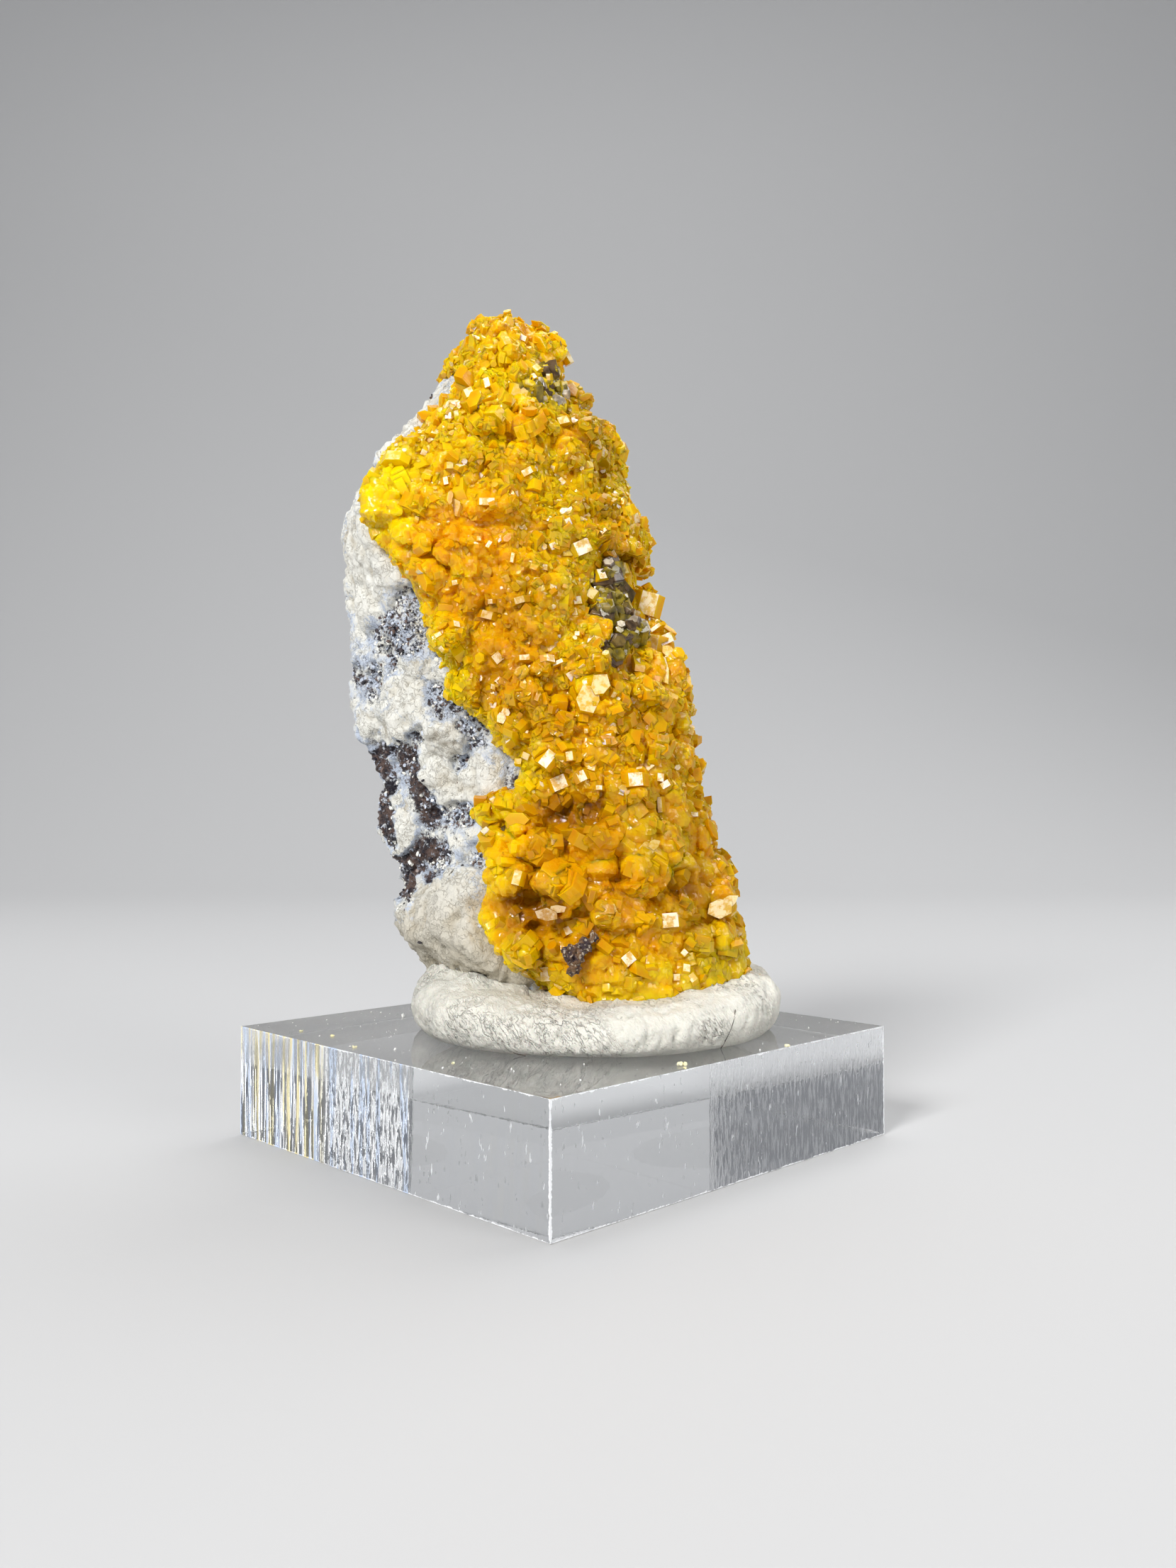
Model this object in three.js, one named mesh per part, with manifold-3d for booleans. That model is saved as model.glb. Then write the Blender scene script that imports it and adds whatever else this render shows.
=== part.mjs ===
// A mimetite and duftite specimen on its matrix, pressed into mounting putty on a clear acrylic block.
// Millimetres, +Z up. The origin is the centre of the block's underside, and X and Y run along its sides.
// The stone is drawn in a frame of its own, turned on the block: X runs across its crystal face, from the
// left to the right of someone who looks at it, and Y runs away from them. "Across" and "up" are X and Z.
import * as THREE from "three";
import { mergeVertices } from "three/addons/utils/BufferGeometryUtils.js";
import { ImprovedNoise } from "three/addons/math/ImprovedNoise.js";
import Module from "manifold-3d";

const wasm = await Module();
wasm.setup();
const noise = new ImprovedNoise();
const { clamp, lerp, smoothstep } = THREE.MathUtils;

// The acrylic block
const BLOCK_SIDE = 38.1;
const BLOCK_HEIGHT = 9;
const BLOCK_CHAMFER = 0.15;

// The putty pad: a pressed round cake, lower at the front, where the stone leans on it
const PUTTY_RADIUS = 15.4;
const PUTTY_HEIGHT = 5.3;
const PUTTY_FRONT_DROP = 1.9;
const PUTTY_CENTRE = new THREE.Vector2(2.8, 0.4);
const PUTTY_SEGMENTS = 28;
const PUTTY_DENT = 0.35;
const PUTTY_DENT_SCALE = 2.2;

// The putty's edge, from its foot over its shoulder to the middle: inset from the radius, share of the height
const PUTTY_EDGE = [
  { inset: 1.7, share: 0, dented: false },
  { inset: 1.1, share: 0, dented: true },
  { inset: 0.3, share: 0.15, dented: true },
  { inset: 0, share: 0.38, dented: true },
  { inset: 0.15, share: 0.64, dented: true },
  { inset: 0.95, share: 0.86, dented: true },
  { inset: 2.5, share: 1, dented: true },
  { inset: 7, share: 0.96, dented: false },
];

// How the stone stands on the block, and the gap between faces that are pressed or grown together
const STONE_TURN = THREE.MathUtils.degToRad(45);
const GAP = 0.3;
const PRINT_SLACK = 0.18;
const PRINT_RISE = 1.6;
const PRINT_SIDES = 40;
const PRINT_STEP = 1.05;
const PRINT_TOP = 20.1;
const PRINT_ASIDE = [-0.3, 0, 0.3];

// Level sections of the stone with its crust, from the foot up: the left edge, the seam where the crust
// begins, the right edge and the thickness from front to back
const SECTIONS = [
  { z: 10.6, left: -9.2, seam: 0.5, right: 14.4, thick: 15 },
  { z: 13, left: -11.0, seam: -0.5, right: 15.2, thick: 17.5 },
  { z: 16, left: -13.0, seam: -5.2, right: 14.0, thick: 19 },
  { z: 19, left: -14.1, seam: -6.6, right: 12.9, thick: 19 },
  { z: 22, left: -14.6, seam: -5.2, right: 11.9, thick: 18.5 },
  { z: 25, left: -15.4, seam: -4.0, right: 10.8, thick: 18 },
  { z: 28, left: -15.6, seam: -2.0, right: 10.2, thick: 18 },
  { z: 31, left: -16.2, seam: -3.0, right: 9.6, thick: 17.5 },
  { z: 34, left: -16.9, seam: -6.2, right: 9.3, thick: 17 },
  { z: 38, left: -18.3, seam: -8.6, right: 8.8, thick: 17 },
  { z: 42, left: -17.8, seam: -10.4, right: 7.8, thick: 17 },
  { z: 46, left: -18.2, seam: -11.6, right: 6.6, thick: 16.5 },
  { z: 48.5, left: -18.0, seam: -14.6, right: 5.7, thick: 16.3 },
  { z: 52, left: -17.0, seam: -15.6, right: 4.9, thick: 16 },
  { z: 55, left: -15.6, seam: -14.2, right: 3.8, thick: 15 },
  { z: 58, left: -14.4, seam: -11.0, right: 3.2, thick: 14 },
  { z: 61, left: -12.3, seam: -8.8, right: 2.1, thick: 12.5 },
  { z: 64, left: -10.0, seam: -7.8, right: -0.2, thick: 9.5 },
  { z: 66, left: -8.2, seam: -6.8, right: -2.0, thick: 6.6 },
  { z: 67.2, left: -7.0, seam: -5.8, right: -3.2, thick: 4 },
];
const FOOT = SECTIONS[0].z;
const TIP = SECTIONS.at(-1).z;

// The corners of a section's outline, anticlockwise from the back left: each lies a share of the way between
// two of the section's values, and at a depth that is a share of its thickness
const OUTLINE = [
  { from: "left", to: "right", share: 0, depth: 0.26 },
  { from: "left", to: "seam", share: 0.37, depth: -0.1 },
  { from: "seam", to: "right", share: 0, depth: -0.36 },
  { from: "seam", to: "right", share: 0.42, depth: -0.5 },
  { from: "seam", to: "right", share: 0.87, depth: -0.3 },
  { from: "seam", to: "right", share: 1, depth: 0.02 },
  { from: "left", to: "right", share: 0.84, depth: 0.36 },
  { from: "left", to: "right", share: 0.44, depth: 0.5 },
];

// Stations count round an outline from corner to corner. The crust lies from the seam to just behind the
// right edge, and its two edges are ragged.
const SPANS = OUTLINE.length;
const CRUST_FROM = 2;
const CRUST_TO = 5.75;
const CRUST_EDGE = 0.12;
const CRUST_EDGE_BEHIND = 0.2;
const CRUST_RAGS = [
  { scale: 0.45, height: 0.1, shift: 3.7 },
  { scale: 1.3, height: 0.06, shift: 8.1 },
];
const FRONT_FROM = 0.4;
const FRONT_TO = 5;

// The matrix: its rows and columns, and how it draws in at its ends and under the crust
const MATRIX_TOP = 65;
const LEVEL_STEP = 2.1;
const MATRIX_COLUMNS = 22;
const COVERED_COLUMNS = 8;
const COVERED_DEPTH = 2.1;
const TIP_DRAW = 1.4;
const TIP_DRAW_HEIGHT = 6;
const FOOT_DRAW = 0.8;
const FOOT_DRAW_HEIGHT = 2;
const ROW_WANDER = { height: 1.5, perStation: 4.3, perLevel: 0.7, shift: 1.9 };

// The matrix's relief: lumps of three sizes, and ledges where the white coating ends
const MATRIX_LUMPS = [
  { scale: 0.16, height: 0.9, shift: 0 },
  { scale: 0.4, height: 0.55, shift: 7 },
  { scale: 1.1, height: 0.3, shift: 3 },
];
const LEDGE = { scale: 0.3, height: 0.8, shift: 20, width: 0.06 };

// Lumps of the white coating that stand out of the matrix: across, up, radius and height
const COATING_LUMPS = [
  [-9.6, 17.6, 3.4, 0.8],
  [-6.2, 14.6, 2.4, 0.5],
  [-8.0, 33.2, 1.7, 0.7],
  [-5.6, 30.2, 2.0, 0.7],
  [-13.4, 34.4, 2.0, 0.4],
  [-15.0, 46.4, 2.6, 0.5],
  [-12.8, 60.0, 1.8, 0.5],
];

// Bare rock that lies lower than the white coating: across, up, radius and depth
const BARE_PATCHES = [
  [-12.8, 42.0, 2.6, -0.7],
  [-16.2, 38.2, 2.4, -0.6],
  [-9.4, 36.6, 1.6, -0.8],
  [-11.6, 32.8, 1.3, -0.6],
  [-7.2, 31.6, 1.6, -0.7],
  [-14.6, 30.6, 2.6, -0.8],
  [-11.4, 27.8, 2.0, -0.9],
  [-7.9, 26.6, 1.6, -0.9],
  [-10.9, 23.4, 2.7, -1.1],
  [-7.0, 23.6, 1.4, -0.6],
  [-13.2, 20.6, 2.0, -1.2],
  [-9.6, 12.2, 1.3, -1.0],
];

// Swellings and hollows of the crust's face: across, up, radius and height
const CRUST_SWELLS = [
  [-13.2, 51.2, 3.6, 1.0],
  [-8.0, 47.0, 4.6, 0.7],
  [-4.2, 40.0, 4.2, 0.8],
  [3.6, 34.5, 5.0, 0.7],
  [-3.2, 24.2, 3.2, 0.9],
  [9.6, 21.0, 4.2, 0.9],
  [5.0, 12.6, 3.6, 0.8],
  [-2.2, 18.4, 3.0, -1.5],
  [2.4, 27.6, 2.6, -1.3],
  [9.2, 24.6, 2.0, -0.9],
  [5.9, 43.6, 3.4, -1.6],
  [0.6, 61.6, 2.6, -1.2],
  [2.2, 54.0, 2.6, -0.7],
];
const CRUST_PROUD = 0.35;
const CRUST_LUMPS = { scale: 0.35, height: 0.35, shift: 30 };
const CRUST_TUCK = 1.6;
const CRUST_LIFT = 0.5;

// Near its tip the crust closes round the whole stone
const CAP_FROM = MATRIX_TOP - 3;
const CAP_FULL = MATRIX_TOP - 1;

// The mosaic of crystals: its rows and columns, and how much its net is shaken
const ROW_STEP = 2.5;
const WIDE_GIRTH = 25;
const GIRTH_STEPS = 8;
const NARROW_STEP = 0.6;
const CRYSTAL_COLUMNS = 18;
const HIDDEN_COLUMNS = 5;
const NET_JITTER = 0.45;
const STATION_PER_MM = 0.09;

// How far a crystal stands out, how much its end leans, how much narrower than its foot it is, and the share
// of the mosaic where none stands, in front and behind
const RISE = [0.35, 1.6];
const LOW_RISE = 0.2;
const LOW_ZONE = 4.4;
const LEAN = 0.5;
const END_SHARE = [0.68, 0.9];
const BARE_SHARE = 0.25;
const BARE_SHARE_BEHIND = 0.5;
const BEHIND = 3;

// The large crystals of the crust: across, up, radius, how far each stands out, and its lean across and up
const LARGE_CRYSTALS = [
  [-5.0, 65.4, 1.3, 1.5, -0.3, 0.9],
  [1.8, 61.2, 1.2, 1.0, 0.7, 0.3],
  [-3.2, 57.8, 1.5, 1.2, -0.5, 0.5],
  [-12.2, 55.0, 1.5, 0.8, -0.8, 0.5],
  [-6.8, 36.8, 1.4, 0.9, 0.1, 0.2],
  [3.0, 35.4, 1.9, 1.2, -0.1, 0.5],
  [8.2, 38.2, 1.5, 1.4, 1.1, 0.1],
  [8.4, 44.6, 1.1, 1.2, 0.9, 0.3],
  [-1.4, 28.6, 1.4, 1.7, -0.2, 0.5],
  [-3.9, 24.0, 1.3, 1.2, -0.5, 0.4],
  [-3.0, 22.2, 1.7, 1.4, -0.4, 0.2],
  [-0.2, 21.2, 1.9, 2.0, 0.3, -0.5],
  [2.4, 24.6, 1.5, 2.2, 0.9, 0.4],
  [6.2, 24.2, 1.6, 1.3, 0.3, 0.5],
  [11.8, 19.8, 1.5, 1.2, 1.0, 0.3],
];
const LARGE_ROOT = 1.7;
const LARGE_CLEAR = 1.1;
const LEAN_SHARE = 0.55;

// The tongue of crust that runs out over the coating: across, up and radius of its lumps
const TONGUE_LUMPS = [
  [-3.0, 27.4, 1.3],
  [-4.6, 27.0, 1.2],
  [-6.2, 26.6, 1.1],
  [-7.6, 26.9, 0.9],
];
const TONGUE_STRETCH = new THREE.Vector3(1.3, 1, 0.85);
const TONGUE_LIFT = 0.25;

// The two pockets of duftite and dark glassy crystals, with half their width and height and a crystal count
const DUFTITE_POCKETS = [
  { name: "duftite_upper", across: -0.5, up: 61.2, wide: 1.9, tall: 2.5, count: 5 },
  { name: "duftite_lower", across: 4.6, up: 42.9, wide: 2.2, tall: 4.2, count: 9 },
];
const POCKET_CLEAR = 1.1;
const BED_HALF_DEPTH = 1.1;
const BED_SUNK = 0.75;
const DUFTITE_RADIUS = [0.65, 1.05];
const DUFTITE_RISE = [0.5, 1.25];
const DUFTITE_ROOT = 1.1;
const DUFTITE_SPREAD = 0.5;
const DUFTITE_STRAY = 0.4;
const GOLDEN_ANGLE = Math.PI * (3 - Math.sqrt(5));

// The crumb of iron oxide near the foot: its place, and its lumps, each set off from there, with a radius
const CRUMB = { across: 1.5, up: 16.1, lift: 0.9 };
const CRUMB_LUMPS = [
  { offset: [0, 0, 0], radius: 0.85 },
  { offset: [0.75, 0, 0.8], radius: 0.7 },
  { offset: [1.4, 0, 1.35], radius: 0.5 },
  { offset: [-0.1, 0, -0.95], radius: 0.55 },
  { offset: [-0.5, -0.2, 0.35], radius: 0.6 },
];
const CRUMB_BARE = 2;
const CRUMB_LOW = 3;

// How quickly a lump or a hollow falls off from its middle
const BUMP_FALL = 1.25;

// The steps by which slopes are felt along an outline and up the face
const STATION_FEEL = 0.02;
const FACE_STATION_FEEL = 0.08;
const FACE_UP_FEEL = 0.6;
const STATION_SEARCH = 0.05;
const VERTEX_MERGE = 1e-4;

const SEED = 20731;
const random = () => THREE.MathUtils.seededRandom();
const between = (low, high) => lerp(low, high, random());

const levelsOf = (from, to, count) => Array.from({ length: count + 1 }, (_, i) => lerp(from, to, i / count));
const levels = (from, to, step) => levelsOf(from, to, Math.round((to - from) / step));
const sumOf = (points) => points.reduce((sum, p) => sum.add(p), new THREE.Vector3());
const meanOf = (points) => sumOf(points).divideScalar(points.length);
const noiseAt = (x, y, z, { scale, height, shift }) =>
  height * noise.noise(x * scale + shift, y * scale + shift, z * scale);
const bump = (x, z, [across, up, radius, height]) =>
  height * Math.exp(-BUMP_FALL * (((x - across) ** 2 + (z - up) ** 2) / radius ** 2));
const bumps = (list, x, z) => list.reduce((sum, one) => sum + bump(x, z, one), 0);

// One value of the sections at a height, on a smooth curve through them
function sectionValue(z, key) {
  const at = (k) => SECTIONS[clamp(k, 0, SECTIONS.length - 1)];
  const above = SECTIONS.findIndex((section) => section.z > z);
  const i = above < 0 ? SECTIONS.length - 2 : Math.max(above - 1, 0);
  const [low, high] = [at(i), at(i + 1)];
  const height = high.z - low.z;
  const t = clamp((z - low.z) / height, 0, 1);
  const slopeAt = (k) => (at(k + 1)[key] - at(k - 1)[key]) / (at(k + 1).z - at(k - 1).z);
  const curve = t * (1 - t) ** 2 * slopeAt(i) - t ** 2 * (1 - t) * slopeAt(i + 1);
  return lerp(low[key], high[key], smoothstep(t, 0, 1)) + curve * height;
}

function sectionCorners(z) {
  const keys = ["left", "seam", "right", "thick"];
  const value = Object.fromEntries(keys.map((key) => [key, sectionValue(z, key)]));
  return OUTLINE.map(({ from, to, share, depth }) => {
    return new THREE.Vector2(lerp(value[from], value[to], share), depth * value.thick);
  });
}

// A point on the smooth curve through four points, between the second and the third
function curveBetween([before, start, end, after], t) {
  const square = t * t;
  const cube = square * t;
  return new THREE.Vector2()
    .addScaledVector(before, (-cube + 2 * square - t) / 2)
    .addScaledVector(start, (3 * cube - 5 * square + 2) / 2)
    .addScaledVector(end, (-3 * cube + 4 * square + t) / 2)
    .addScaledVector(after, (cube - square) / 2);
}

// A point of the stone's outline at a height and a station, with its level outward normal
function outlineAt(z, station) {
  const corners = sectionCorners(z);
  const at = (s) => {
    const span = Math.floor(s);
    const four = [-1, 0, 1, 2].map((k) => corners[(span + k + SPANS) % SPANS]);
    return curveBetween(four, s - span);
  };
  const wrapped = ((station % SPANS) + SPANS) % SPANS;
  const point = at(wrapped);
  const along = at((wrapped + STATION_FEEL) % SPANS).sub(point).normalize();
  return { point, normal: new THREE.Vector2(along.y, -along.x) };
}

// The point that stands a distance out of the outline
function pointOut({ point, normal }, out, z) {
  return new THREE.Vector3(point.x + normal.x * out, point.y + normal.y * out, z);
}

// 1 on the crust's stretch of the outline, 0 off it, with a ragged edge
function crustShare(z, station) {
  const rags = CRUST_RAGS.map(({ scale, height, shift }) => height * noise.noise(z * scale, shift, 0.5));
  const ragged = rags.reduce((sum, rag) => sum + rag, 0);
  const from = CRUST_FROM + ragged;
  const to = CRUST_TO + 2 * ragged;
  const begun = smoothstep(station, from - CRUST_EDGE, from + CRUST_EDGE);
  const ended = smoothstep(station, to - CRUST_EDGE_BEHIND, to + CRUST_EDGE_BEHIND);
  return begun * (1 - ended);
}

// How far the bare matrix stands out of the plain outline
function matrixRelief(x, y, z) {
  const lumps = MATRIX_LUMPS.reduce((sum, layer) => sum + noiseAt(x, y, z, layer), 0);
  const coat = noiseAt(x, y, z, { ...LEDGE, height: 1 });
  const ledge = LEDGE.height * (smoothstep(coat, -LEDGE.width, LEDGE.width) - 0.5);
  const front = y < BEHIND ? bumps(COATING_LUMPS, x, z) + bumps(BARE_PATCHES, x, z) : 0;
  return lumps + ledge + front;
}

// How far the crust's face stands out of the plain outline
function crustRelief(x, y, z) {
  return CRUST_PROUD + bumps(CRUST_SWELLS, x, z) + noiseAt(x, y, z, CRUST_LUMPS);
}

function geometryFrom(points, faces) {
  const geometry = new THREE.BufferGeometry();
  const positions = points.flatMap((p) => p.toArray());
  geometry.setAttribute("position", new THREE.Float32BufferAttribute(positions, 3));
  geometry.setIndex(faces);
  return geometry;
}

// Closes the lowest and the highest ring of a body with a fan round the middle of each
function closeEnds(points, faces, rows, columns) {
  const top = (rows - 1) * columns;
  const foot = points.length;
  points.push(meanOf(points.slice(0, columns)), meanOf(points.slice(top, top + columns)));
  for (let j = 0; j < columns; j += 1) {
    const next = (j + 1) % columns;
    faces.push(foot, next, j, foot + 1, top + j, top + next);
  }
}

// A closed body from rings of points, bottom to top
function loft(rings) {
  const columns = rings[0].length;
  const points = rings.flat();
  const faces = [];
  for (let i = 0; i + 1 < rings.length; i += 1) {
    for (let j = 0; j < columns; j += 1) {
      const [low, high] = [i * columns, (i + 1) * columns];
      const next = (j + 1) % columns;
      faces.push(low + j, low + next, high + next, low + j, high + next, high + j);
    }
  }
  closeEnds(points, faces, rings.length, columns);
  return geometryFrom(points, faces);
}

// The matrix's stations: coarse under the crust, fine where the rock shows
function matrixStations() {
  const covered = levelsOf(CRUST_FROM + CRUST_EDGE, CRUST_TO - CRUST_EDGE_BEHIND, COVERED_COLUMNS - 1);
  const shown = levelsOf(CRUST_TO + CRUST_EDGE_BEHIND, CRUST_FROM + SPANS - CRUST_EDGE, MATRIX_COLUMNS - 1);
  return [...covered, ...shown.map((s) => s % SPANS)];
}

// How far a row of the matrix's vertices strays up or down at a station, so that no ring shows
function rowWander(station, level) {
  const { height, perStation, perLevel, shift } = ROW_WANDER;
  return height * noise.noise(station * perStation, level * perLevel, shift);
}

// The matrix, grown by a distance all round: full size where it shows, and set back under the crust
function matrixGeometry(grow) {
  const rings = levels(FOOT, MATRIX_TOP, LEVEL_STEP).map((level) =>
    matrixStations().map((station) => {
      const within = smoothstep(level, FOOT, FOOT + 1) - smoothstep(level, MATRIX_TOP - 1, MATRIX_TOP);
      const z = level + within * rowWander(station, level);
      const place = outlineAt(z, station);
      const covered = crustShare(z, station);
      const relief = lerp(matrixRelief(place.point.x, place.point.y, z), -COVERED_DEPTH, covered);
      const tipDraw = TIP_DRAW * smoothstep(z, MATRIX_TOP - TIP_DRAW_HEIGHT, MATRIX_TOP);
      const footDraw = FOOT_DRAW * (1 - smoothstep(z, FOOT, FOOT + FOOT_DRAW_HEIGHT));
      const endGrow = (level === MATRIX_TOP ? grow : 0) - (level === FOOT ? grow : 0);
      return pointOut(place, relief - tipDraw - footDraw + grow, z + endGrow);
    }),
  );
  return loft(rings);
}

// How far the crust's skin stands out: proud where the crust lies, and tucked inside the matrix elsewhere
function crustOut({ x, y }, z, station, rise) {
  const cover = Math.max(crustShare(z, station), smoothstep(z, CAP_FROM, CAP_FULL));
  const footDraw = FOOT_DRAW * (1 - smoothstep(z, FOOT, FOOT + FOOT_DRAW_HEIGHT));
  return lerp(-CRUST_TUCK, crustRelief(x, y, z) + rise, cover) - footDraw;
}

// The length of the crust's stretch of a section's outline
function crustGirth(z) {
  const points = levelsOf(CRUST_FROM, CRUST_TO, GIRTH_STEPS).map((station) => outlineAt(z, station).point);
  return points.slice(1).reduce((sum, p, i) => sum + p.distanceTo(points[i]), 0);
}

// The heights of the crust's rows of crystals, closer together where the stone is narrow
function crystalRows() {
  const rows = [FOOT + CRUST_LIFT];
  while (rows.at(-1) < TIP) {
    const wide = clamp(crustGirth(rows.at(-1)) / WIDE_GIRTH, NARROW_STEP, 1);
    rows.push(rows.at(-1) + ROW_STEP * wide);
  }
  const squeeze = (TIP - rows[0]) / (rows.at(-1) - rows[0]);
  return rows.map((z) => rows[0] + (z - rows[0]) * squeeze);
}

// The stations round the crust: even columns where its crystals show, then a few on its hidden side
function crustStations() {
  const shown = levelsOf(CRUST_FROM + CRUST_EDGE, CRUST_TO - CRUST_EDGE, CRYSTAL_COLUMNS);
  const hidden = levelsOf(CRUST_TO + 2 * CRUST_EDGE, CRUST_FROM + SPANS - 2 * CRUST_EDGE, HIDDEN_COLUMNS);
  return [...shown, ...hidden.map((s) => s % SPANS)];
}

// The vertices between the crystals: a shaken zigzag net whose meshes are six-sided
function crystalNet(rows, stations) {
  const last = rows.length - 1;
  return rows.map((row, i) =>
    stations.map((station, j) => {
      const inside = j > 0 && j < CRYSTAL_COLUMNS && i > 0 && i < last;
      const step = (rows[Math.min(i + 1, last)] - rows[Math.max(i - 1, 0)]) / 2;
      const zigzag = inside ? ((i + j) % 2 === 0 ? step : -step) / 6 : 0;
      const shake = inside ? NET_JITTER : 0;
      const z = row + zigzag + between(-shake, shake);
      const s = station + between(-shake, shake) * STATION_PER_MM;
      const place = outlineAt(z, s);
      return pointOut(place, crustOut(place.point, z, s, 0) + between(-shake, shake) / 2, z);
    }),
  );
}

const distanceOnFace = (place, { across, up }) =>
  place.y < BEHIND ? Math.hypot(place.x - across, place.z - up) : Infinity;

// How a crystal of the mosaic stands, or null where there is only low crust
function crystalStand(middle) {
  const stand = {
    rise: between(...RISE),
    lean: [between(-1, 1) * LEAN, between(-0.8, 1.2) * LEAN],
    share: between(...END_SHARE),
  };
  const isBare = random() < (middle.y < BEHIND ? BARE_SHARE : BARE_SHARE_BEHIND);
  const inPocket = DUFTITE_POCKETS.some(
    ({ across, up, wide, tall }) =>
      middle.y < BEHIND && Math.hypot((middle.x - across) / wide, (middle.z - up) / tall) < POCKET_CLEAR,
  );
  const toLarge = LARGE_CRYSTALS.map(([across, up]) => distanceOnFace(middle, { across, up }));
  const toCrumb = distanceOnFace(middle, CRUMB);
  if (isBare || inPocket || Math.min(...toLarge) < LARGE_CLEAR || toCrumb < CRUMB_BARE) return null;
  const isLow = toCrumb < CRUMB_LOW || middle.z < FOOT + LOW_ZONE;
  return isLow ? { ...stand, rise: LOW_RISE, lean: [0, 0] } : stand;
}

// The corners of a crystal's end above one mesh of the net: its sides draw in, and its end is flat and leans
function crystalEnd(ring, middle, { rise, lean, share }) {
  const normal = new THREE.Vector3();
  ring.forEach((p, k) => {
    const next = ring[(k + 1) % ring.length];
    normal.add(p.clone().sub(middle).cross(next.clone().sub(middle)));
  });
  normal.setZ(normal.z / 2).normalize();
  const facing = normal.clone().add(new THREE.Vector3(lean[0], 0, lean[1])).normalize();
  const end = middle.clone().addScaledVector(normal, rise);
  return ring.map((p) => {
    const corner = middle.clone().lerp(p, share);
    return corner.addScaledVector(normal, end.clone().sub(corner).dot(facing) / normal.dot(facing));
  });
}

// The crust: a closed body whose covered side is a mosaic of six-sided crystals grown side by side
function crustGeometry() {
  const rows = crystalRows();
  const stations = crustStations();
  const columns = stations.length;
  const points = crystalNet(rows, stations).flat();
  const faces = [];
  const index = (i, j) => i * columns + (j % columns);
  const quad = (a, b, c, d) => faces.push(a, b, c, a, c, d);

  const addCrystal = (ring) => {
    const corners = ring.map((k) => points[k]);
    const middle = meanOf(corners);
    const stand = crystalStand(middle);
    const end = stand ? ring.map((_, k) => points.length + k) : ring;
    if (stand) {
      points.push(...crystalEnd(corners, middle, stand));
      ring.forEach((k, side) => {
        const next = (side + 1) % ring.length;
        quad(k, ring[next], end[next], end[side]);
      });
    }
    for (let k = 1; k + 1 < end.length; k += 1) faces.push(end[0], end[k], end[k + 1]);
  };

  for (let i = 0; i + 1 < rows.length; i += 1) {
    for (let j = 0; j < columns; j += 1) {
      if (j + 2 <= CRYSTAL_COLUMNS && (i + j) % 2 === 0) {
        const low = [index(i, j), index(i, j + 1), index(i, j + 2)];
        addCrystal([...low, index(i + 1, j + 2), index(i + 1, j + 1), index(i + 1, j)]);
        j += 1;
      } else {
        quad(index(i, j), index(i, j + 1), index(i + 1, j + 1), index(i + 1, j));
      }
    }
  }
  closeEnds(points, faces, rows.length, columns);
  return geometryFrom(points, faces);
}

// The space that the foot of the stone fills, with its low crystals, a distance larger all round
function footGeometry(grow) {
  const rings = levels(FOOT, PRINT_TOP, PRINT_STEP).map((z) =>
    levelsOf(0, SPANS, PRINT_SIDES).slice(1).map((station) => {
      const place = outlineAt(z, station);
      const reach = PRINT_ASIDE.map((aside) => crustOut(place.point, z, station + aside, grow));
      const out = Math.max(...reach, z < FOOT + PRINT_RISE ? grow : -CRUST_TUCK);
      return pointOut(place, out, z === FOOT ? z - grow : z);
    }),
  );
  return loft(rings);
}

// The place on the stone's front that lies at a distance across and up, with its outward normal
function facePlace(across, up, relief) {
  const miss = (s) => Math.abs(outlineAt(up, s).point.x - across);
  const stations = levels(FRONT_FROM, FRONT_TO, STATION_SEARCH);
  const station = stations.reduce((best, s) => (miss(s) < miss(best) ? s : best));
  const at = (z, s) => {
    const place = outlineAt(z, s);
    return pointOut(place, relief(place.point.x, place.point.y, z), z);
  };
  const point = at(up, station);
  const sideways = at(up, station + FACE_STATION_FEEL).sub(point);
  const upwards = at(up + FACE_UP_FEEL, station).sub(point);
  return { point, normal: sideways.cross(upwards).normalize() };
}

// A geometry as a manifold solid, with its shared vertices merged
function solidOf(geometry) {
  const bare = geometry.index ? geometry.toNonIndexed() : geometry.clone();
  bare.deleteAttribute("normal");
  bare.deleteAttribute("uv");
  const merged = mergeVertices(bare, VERTEX_MERGE);
  const mesh = new wasm.Mesh({
    numProp: 3,
    vertProperties: merged.getAttribute("position").array,
    triVerts: new Uint32Array(merged.index.array),
  });
  return new wasm.Manifold(mesh);
}

// The main body of a solid as a geometry, without the crumbs that a cut leaves
function geometryOf(solid) {
  const main = solid.decompose().reduce((a, b) => (a.volume() > b.volume() ? a : b));
  const { vertProperties, triVerts } = main.getMesh();
  const geometry = new THREE.BufferGeometry();
  geometry.setAttribute("position", new THREE.Float32BufferAttribute(vertProperties, 3));
  geometry.setIndex(Array.from(triVerts));
  geometry.computeVertexNormals();
  return geometry;
}

// A crystal's place: a point of the stone, an axis that leans out of its face, and a turn about that axis
function crystalPlan({ point, normal }, lean, radius, rise, root) {
  const leaning = new THREE.Vector3(lean[0], 0, lean[1]).multiplyScalar(LEAN_SHARE);
  const axis = normal.clone().add(leaning).normalize();
  return { point, axis, radius, rise, root, turn: random() * Math.PI };
}

// A six-sided crystal with a flat end, its root sunk below the stone's face
function crystalGeometry({ point, axis, radius, rise, root, turn }, grow) {
  const geometry = new THREE.CylinderGeometry(radius + grow, radius + grow, rise + root + 2 * grow, 6);
  geometry.rotateX(Math.PI / 2);
  geometry.rotateZ(turn);
  geometry.applyQuaternion(new THREE.Quaternion().setFromUnitVectors(new THREE.Vector3(0, 0, 1), axis));
  geometry.translate(...point.clone().addScaledVector(axis, (rise - root) / 2).toArray());
  return geometry;
}

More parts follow.
